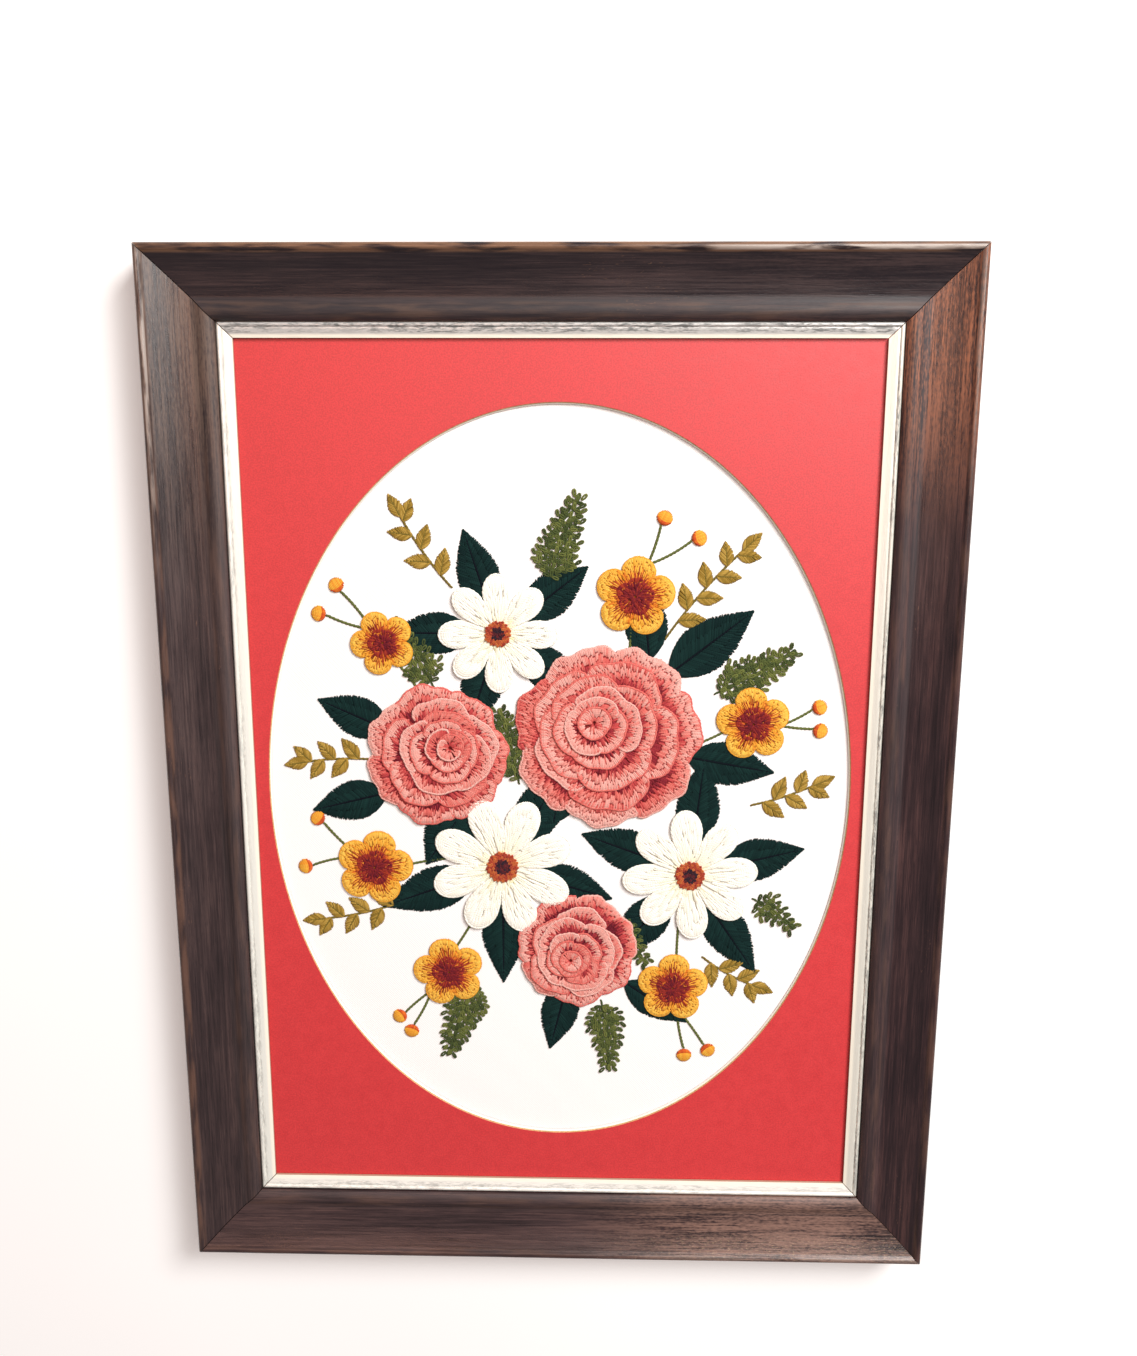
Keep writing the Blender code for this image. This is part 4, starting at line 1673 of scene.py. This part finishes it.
DARK_BLADES = (
    Blade(-38, -8, 30, 20, -124), Blade(44, 48, 42, 20, 38), Blade(36, 54, 32, 17, 96),
    Blade(52, 14, 36, 18, -10), Blade(28, -84, 32, 15, -34), Blade(4, -84, 32, 16, -104),
    Blade(-68, 24, 32, 17, 156), Blade(-70, -2, 32, 17, -166), Blade(-2, -14, 34, 20, 80),
    Blade(-16, -24, 40, 19, 62), Blade(-30, -24, 32, 18, 128), Blade(-34, -37, 42, 19, 200),
    Blade(-23, -45, 40, 18, -90), Blade(-12, -37, 36, 18, -16), Blade(66, -33, 36, 18, 14),
    Blade(55, -24, 38, 18, 84), Blade(43, -31, 36, 18, 160), Blade(46, -45, 36, 18, -130),
    Blade(60, -46, 40, 18, -56), Blade(-15, 70, 34, 17, 38), Blade(-27, 73, 34, 17, 108),
    Blade(-34, 64, 34, 17, 180), Blade(-27, 54, 28, 17, -108), Blade(-15, 58, 32, 17, -38),
)


@dataclass
class Greenery:
    """Olive ferns of chain loops, ochre sprigs, thin stalks and round buds."""

    ferns: tuple[Spray, ...] = (
        Spray(-4, 84, 76, 34, -3), Spray(62, 40, 24, 34, 3), Spray(-50, 42, 116, 28, 3),
        Spray(-34, -84, -116, 34, 3), Spray(18, -92, -78, 30, -3), Spray(-16, 2, 100, 30, 2),
        Spray(80, -46, -30, 20, -2), Spray(22, -54, -62, 24, 3),
    )
    sprigs: tuple[Spray, ...] = (
        Spray(42, 62, 56, 46, -5), Spray(-76, 12, 176, 26, 3), Spray(-62, -48, -158, 36, -5),
        Spray(60, -72, -40, 24, 4), Spray(-42, 82, 132, 34, -4), Spray(78, -6, 12, 26, 3),
    )
    stalks: tuple[Spray, ...] = (
        Spray(28, 56, 84, 14, 1), Spray(52, 18, 20, 20, 2), Spray(-46, -30, 186, 22, 2),
        Spray(-32, -50, -116, 26, -2), Spray(50, -56, -94, 22, 1), Spray(-54, 38, 124, 18, 1),
    )
    twigs: tuple[Spray, ...] = (
        Spray(33, 88, 62, 20, 3), Spray(36, 92, 20, 18, 3), Spray(86, 28, -14, 16, 2),
        Spray(88, 27, 20, 15, 2), Spray(-84, -28, 140, 18, -2), Spray(-88, -30, 186, 14, 2),
        Spray(-51, -87, -146, 18, 2), Spray(-54, -90, -110, 16, -2), Spray(50, -96, -86, 18, 2),
        Spray(52, -98, -52, 17, -1), Spray(-76, 68, 122, 16, 2), Spray(-78, 66, 168, 15, -2),
    )
    bud_radius: float = 3.0
    bead_pitch: float = 2.1

    def fern(self, spray: Spray, sew: Stitcher) -> list[Surface]:
        """Work one fern: side branches shorten towards the tip, with loops on both sides of each."""
        stem = spray.line()
        made = [sew.run(stem, 0.8, 2.4, 0.55)]
        places, turns, lengths = [], [], []
        nodes = max(4, round(spray.length / 3.1))
        for i in range(nodes):
            t = (i + 0.8) / (nodes + 0.2)
            x, y, heading = spray.at(t)
            branch = (1 - t) ** 0.7 * spray.length * 0.30
            beads = max(1, round(branch / self.bead_pitch))
            for way in (-1, 1):
                angle = heading + way * (0.85 - 0.25 * t)
                for k in range(beads + 1):
                    d = 0.6 + k * self.bead_pitch
                    for lean in ((-0.75, 0.75) if k < beads else (0.0,)):
                        places.append((x + d * math.cos(angle), y + d * math.sin(angle)))
                        turns.append(angle + lean)
                        lengths.append(2.7)
        places.append((stem[-1, 0], stem[-1, 1]))
        turns.append(math.radians(spray.turn))
        lengths.append(2.8)
        count = len(places)
        at = np.empty((count, 3))
        at[:, :2] = np.array(places) + sew.jitter((count, 2), 0.25)
        at[:, 2] = CLOTH_TOP + 0.10 + sew.chance.uniform(0, 0.25, count)
        tone = 0.40 + sew.jitter(count, 0.32)
        turn = np.array(turns) + sew.jitter(count, 0.25)
        length = np.array(lengths) + sew.jitter(count, 0.4)
        made.append(sew.loops(at, turn, length, tone))
        return made

    def sprig_blades(self, spray: Spray) -> list[Blade]:
        """Return the small leaves of one sprig, in turn on either side and one at its tip."""
        count = max(5, round(spray.length / 6.4))
        blades = []
        for i in range(count):
            t = 0.20 + 0.74 * i / (count - 1)
            x, y, heading = spray.at(t)
            lean = 50 if i % 2 else -50
            blades.append(Blade(x, y, 11.4 - 2.0 * t, 6.4 - 0.8 * t, math.degrees(heading) + lean))
        x, y, heading = spray.at(1.0)
        return [*blades, Blade(x, y, 10.0, 5.6, math.degrees(heading))]

    def over_bud(self, spray: Spray, across: Array, t: Array) -> Array:
        """Return lines over the bud at the stalk's end.

        Args:
            spray: stalk that carries the bud.
            across: place of each line across the bud, from -1 to 1.
            t: stations along the bud, from -1 at its foot to 1 at its tip.

        Returns:
            Points of shape (lines, stations, 3). A line reaches as far as the circle does at its place, and rises
            as the root of 1 - 0.92 t squared.
        """
        tip = spray.line()[-1]
        turn = math.radians(spray.turn)
        half = np.sqrt(1 - across**2)[:, None]
        ahead = self.bud_radius * (1 + half * t)
        aside = self.bud_radius * across[:, None] * np.ones(len(t))
        x = tip[0] + ahead * math.cos(turn) - aside * math.sin(turn)
        y = tip[1] + ahead * math.sin(turn) + aside * math.cos(turn)
        height = CLOTH_TOP + 0.15 + 0.75 * half * np.sqrt(1 - 0.92 * t**2)
        return np.stack([x, y, height], axis=-1)

    def bud(self, spray: Spray, sew: Stitcher) -> Surface:
        """Work one round bud in stitches from its foot to its tip, with darker short ones over its foot."""
        count = 11
        across = (np.arange(count) + 0.5) / count * 2 - 1
        whole = self.over_bud(spray, across, STITCH_AT * 2 - 1)
        foot = self.over_bud(spray, across, STITCH_AT * 0.6 - 1) + np.array([0, 0, 0.10])
        tone = 0.12 + sew.jitter(count, 0.12)
        dark = 0.60 + sew.jitter(count, 0.14)
        return Surface.join([lay_yarn(whole, tone, 0.78, 0.28), lay_yarn(foot, dark, 0.72, 0.26)])

    def build(self, sew: Stitcher) -> list[bpy.types.Object]:
        """Build the ferns, sprigs, stalks and buds, and return them."""
        olive = YarnFinish(
            "olive_yarns",
            ((0.0, (0.165, 0.185, 0.042)), (0.5, (0.058, 0.080, 0.020)), (1.0, (0.018, 0.030, 0.010))),
            hollow=(0.32, 0.36, 0.28), end_shade=0.6, seam_shade=0.8,
        )
        ochre = YarnFinish(
            "ochre_yarns", ((0.0, (0.47, 0.30, 0.060)), (0.5, (0.30, 0.18, 0.022)), (1.0, (0.12, 0.10, 0.016))),
            hollow=(0.35, 0.32, 0.22),
        )
        gold = YarnFinish(
            "bud_yarns",
            (
                (0.0, (0.80, 0.44, 0.050)), (0.3, (0.76, 0.27, 0.022)), (0.6, (0.62, 0.09, 0.015)),
                (1.0, (0.32, 0.025, 0.014)),
            ),
            hollow=(0.60, 0.30, 0.15),
        )
        ferns = [part for spray in self.ferns for part in self.fern(spray, sew)]
        stalks = [
            sew.run(spray.line(level=CLOTH_TOP + 0.15), 0.95, 2.6, 0.25) for spray in (*self.stalks, *self.twigs)
        ]
        buds = [self.bud(spray, sew) for spray in self.twigs]
        stems = [sew.run(spray.line(level=CLOTH_TOP + 0.14), 0.85, 2.6, 0.85) for spray in self.sprigs]
        small = LeafWork(
            "ochre_sprigs", tuple(blade for spray in self.sprigs for blade in self.sprig_blades(spray)), ochre,
            (0.12, 0.08, 0.014), rows=((0.0, 1.0),), width=0.74, pitch=0.68, slant=0.32, rib_shade=0.85,
            dome=0.26, tone=0.32, spread=0.34,
        )
        return [
            to_world(Surface.join(ferns)).object("olive_ferns", [olive.material()]),
            to_world(Surface.join(stalks)).object("olive_stalks", [olive.material()]),
            to_world(Surface.join(buds)).object("round_buds", [gold.material()]),
            to_world(Surface.join(stems)).object("sprig_stems", [ochre.material()]),
            *small.build(sew),
        ]


# The surroundings


@dataclass
class Studio:
    """Floor, light and camera."""

    camera_at: tuple[float, float, float] = (0.0132, 0.1327, 0.4544)
    camera_turn: tuple[float, float, float] = (-11.09, 1.22, 0.15)
    focal: float = 1140.0 / 1356.0 * 36.0
    ambient: float = 0.22
    floor_reach: float = 3000.0

    def light(self, name: str, at: tuple[float, float, float], size: float, power: float, colour: Colour) -> None:
        """Add a soft square light that looks at the panel's middle."""
        lamp = bpy.data.lights.new(name, "AREA")
        lamp.size, lamp.energy, lamp.color = size, power, colour
        holder = bpy.data.objects.new(name, lamp)
        holder.location = at
        direction = -holder.location
        holder.rotation_euler = direction.to_track_quat("-Z", "Y").to_euler()
        bpy.context.scene.collection.objects.link(holder)

    def build(self) -> None:
        """Build the floor, the lights, the pale surroundings and the camera."""
        scene = bpy.context.scene
        corners = np.array([[-1, -1, 0], [1, -1, 0], [1, 1, 0], [-1, 1, 0]]) * self.floor_reach
        mesh = bpy.data.meshes.new("floor")
        mesh.from_pydata((corners * MM).tolist(), [], [(0, 1, 2, 3)])
        mesh.materials.append(FloorFinish("pale_paper").material())
        floor = bpy.data.objects.new("floor", mesh)
        scene.collection.objects.link(floor)
        self.light("key", (0.90, 1.00, 1.10), 0.60, 34.0, (1.0, 0.995, 0.985))
        self.light("window", (0.40, 0.46, 1.15), 0.48, 4.6, (1.0, 0.97, 0.94))
        self.light("warm_glow", (-0.26, 0.30, 1.15), 0.34, 2.2, (1.0, 0.48, 0.32))
        world = bpy.data.worlds.new("room")
        world.use_nodes = True
        back = world.node_tree.nodes["Background"]
        back.inputs["Color"].default_value = (1.0, 0.98, 0.97, 1.0)
        back.inputs["Strength"].default_value = self.ambient
        scene.world = world
        camera = bpy.data.cameras.new("camera")
        camera.lens, camera.sensor_width, camera.sensor_fit = self.focal, 36.0, "AUTO"
        camera.clip_start, camera.clip_end = 0.01, 20.0
        holder = bpy.data.objects.new("camera", camera)
        holder.location = self.camera_at
        holder.rotation_euler = [math.radians(a) for a in self.camera_turn]
        scene.collection.objects.link(holder)
        scene.camera = holder
        scene.view_settings.view_transform = "Standard"


def main() -> None:
    """Build every piece in order."""
    logging.basicConfig(level=logging.INFO, format="%(name)s: %(message)s")
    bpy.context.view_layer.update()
    sew = Stitcher(SEED)
    Studio().build()
    # The rails' tones differ partly as boards do and partly as painted light and shade: the top rail darkest, the
    # bottom and right ones lighter.
    Moulding().build({
        Side.BOTTOM: WoodFinish(
            "walnut_bottom", (0.017, 0.009, 0.010), (0.043, 0.023, 0.024), (0.098, 0.052, 0.047), bead_wear=0.25,
            pale=(0.29, 0.165, 0.125), axis=0, lit_span=(0.0, 0.07), fade=0.75, painted_glint=0.15, painted_sparkle=0.30,
        ),
        Side.RIGHT: WoodFinish(
            "walnut_right", (0.013, 0.006, 0.008), (0.030, 0.014, 0.016), (0.085, 0.038, 0.036), bead_wear=0.40,
            pale=(0.35, 0.125, 0.060), axis=1, lit_span=(0.095, 0.185), fade=0.95, painted_glint=0.2,
        ),
        Side.TOP: WoodFinish(
            "walnut_top", (0.011, 0.006, 0.009), (0.020, 0.012, 0.014), (0.048, 0.027, 0.027), bead_wear=0.95,
            wear_from=(0.34, 0.54), rubbed=(0.20, 0.105, 0.06), pale=(0.10, 0.06, 0.055), axis=0,
            lit_span=(0.02, 0.09), fade=0.2, painted_glint=0.9,
        ),
        Side.LEFT: WoodFinish(
            "walnut_left", (0.015, 0.009, 0.010), (0.037, 0.0215, 0.022), (0.080, 0.047, 0.043), bead_wear=0.50,
            wear_from=(0.36, 0.58), pale=(0.170, 0.112, 0.080), axis=1, lit_span=(0.070, 0.18), fade=0.6, painted_glint=0.6,
        ),
    })
    # The silver's tone differs by side as painted light and shade, brightest on the bottom slip and darkest on
    # the top one; the specks are tarnish.
    Slip().build({
        Side.BOTTOM: SilverFinish("silver_bottom", silver=(0.98, 0.96, 0.89), specks=0.45),
        Side.RIGHT: SilverFinish("silver_right", silver=(0.84, 0.82, 0.73), specks=0.8, reach=(7.2, 5.6)),
        Side.TOP: SilverFinish("silver_top", silver=(0.62, 0.61, 0.585), specks=0.95),
        Side.LEFT: SilverFinish("silver_left", silver=(0.88, 0.88, 0.81), specks=0.4, reach=(8.0, 6.6)),
    })
    OvalMat().build()
    dark = YarnFinish(
        "dark_leaf_yarns",
        (
            (0.0, (0.008, 0.036, 0.032)), (0.4, (0.004, 0.019, 0.018)), (0.8, (0.002, 0.010, 0.012)),
            (1.0, (0.003, 0.003, 0.008)),
        ),
        hollow=(0.45, 0.45, 0.45), sheen=0.0, roughness=0.85, specular=0.12,
    )
    sewn = Greenery().build(sew)
    sewn += LeafWork("dark_leaves", DARK_BLADES, dark, (0.002, 0.010, 0.011)).build(sew)
    sewn += LayeredBlooms().build(sew)
    sewn += OpenBlossoms().build(sew)
    sewn += GoldenFlowers().build(sew)
    GroundCloth().build(sewn)
    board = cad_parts["backing_board"]
    board.data.materials.clear()
    board.data.materials.append(BoardFinish("pressed_board").material())


if __name__ == "__main__":
    main()
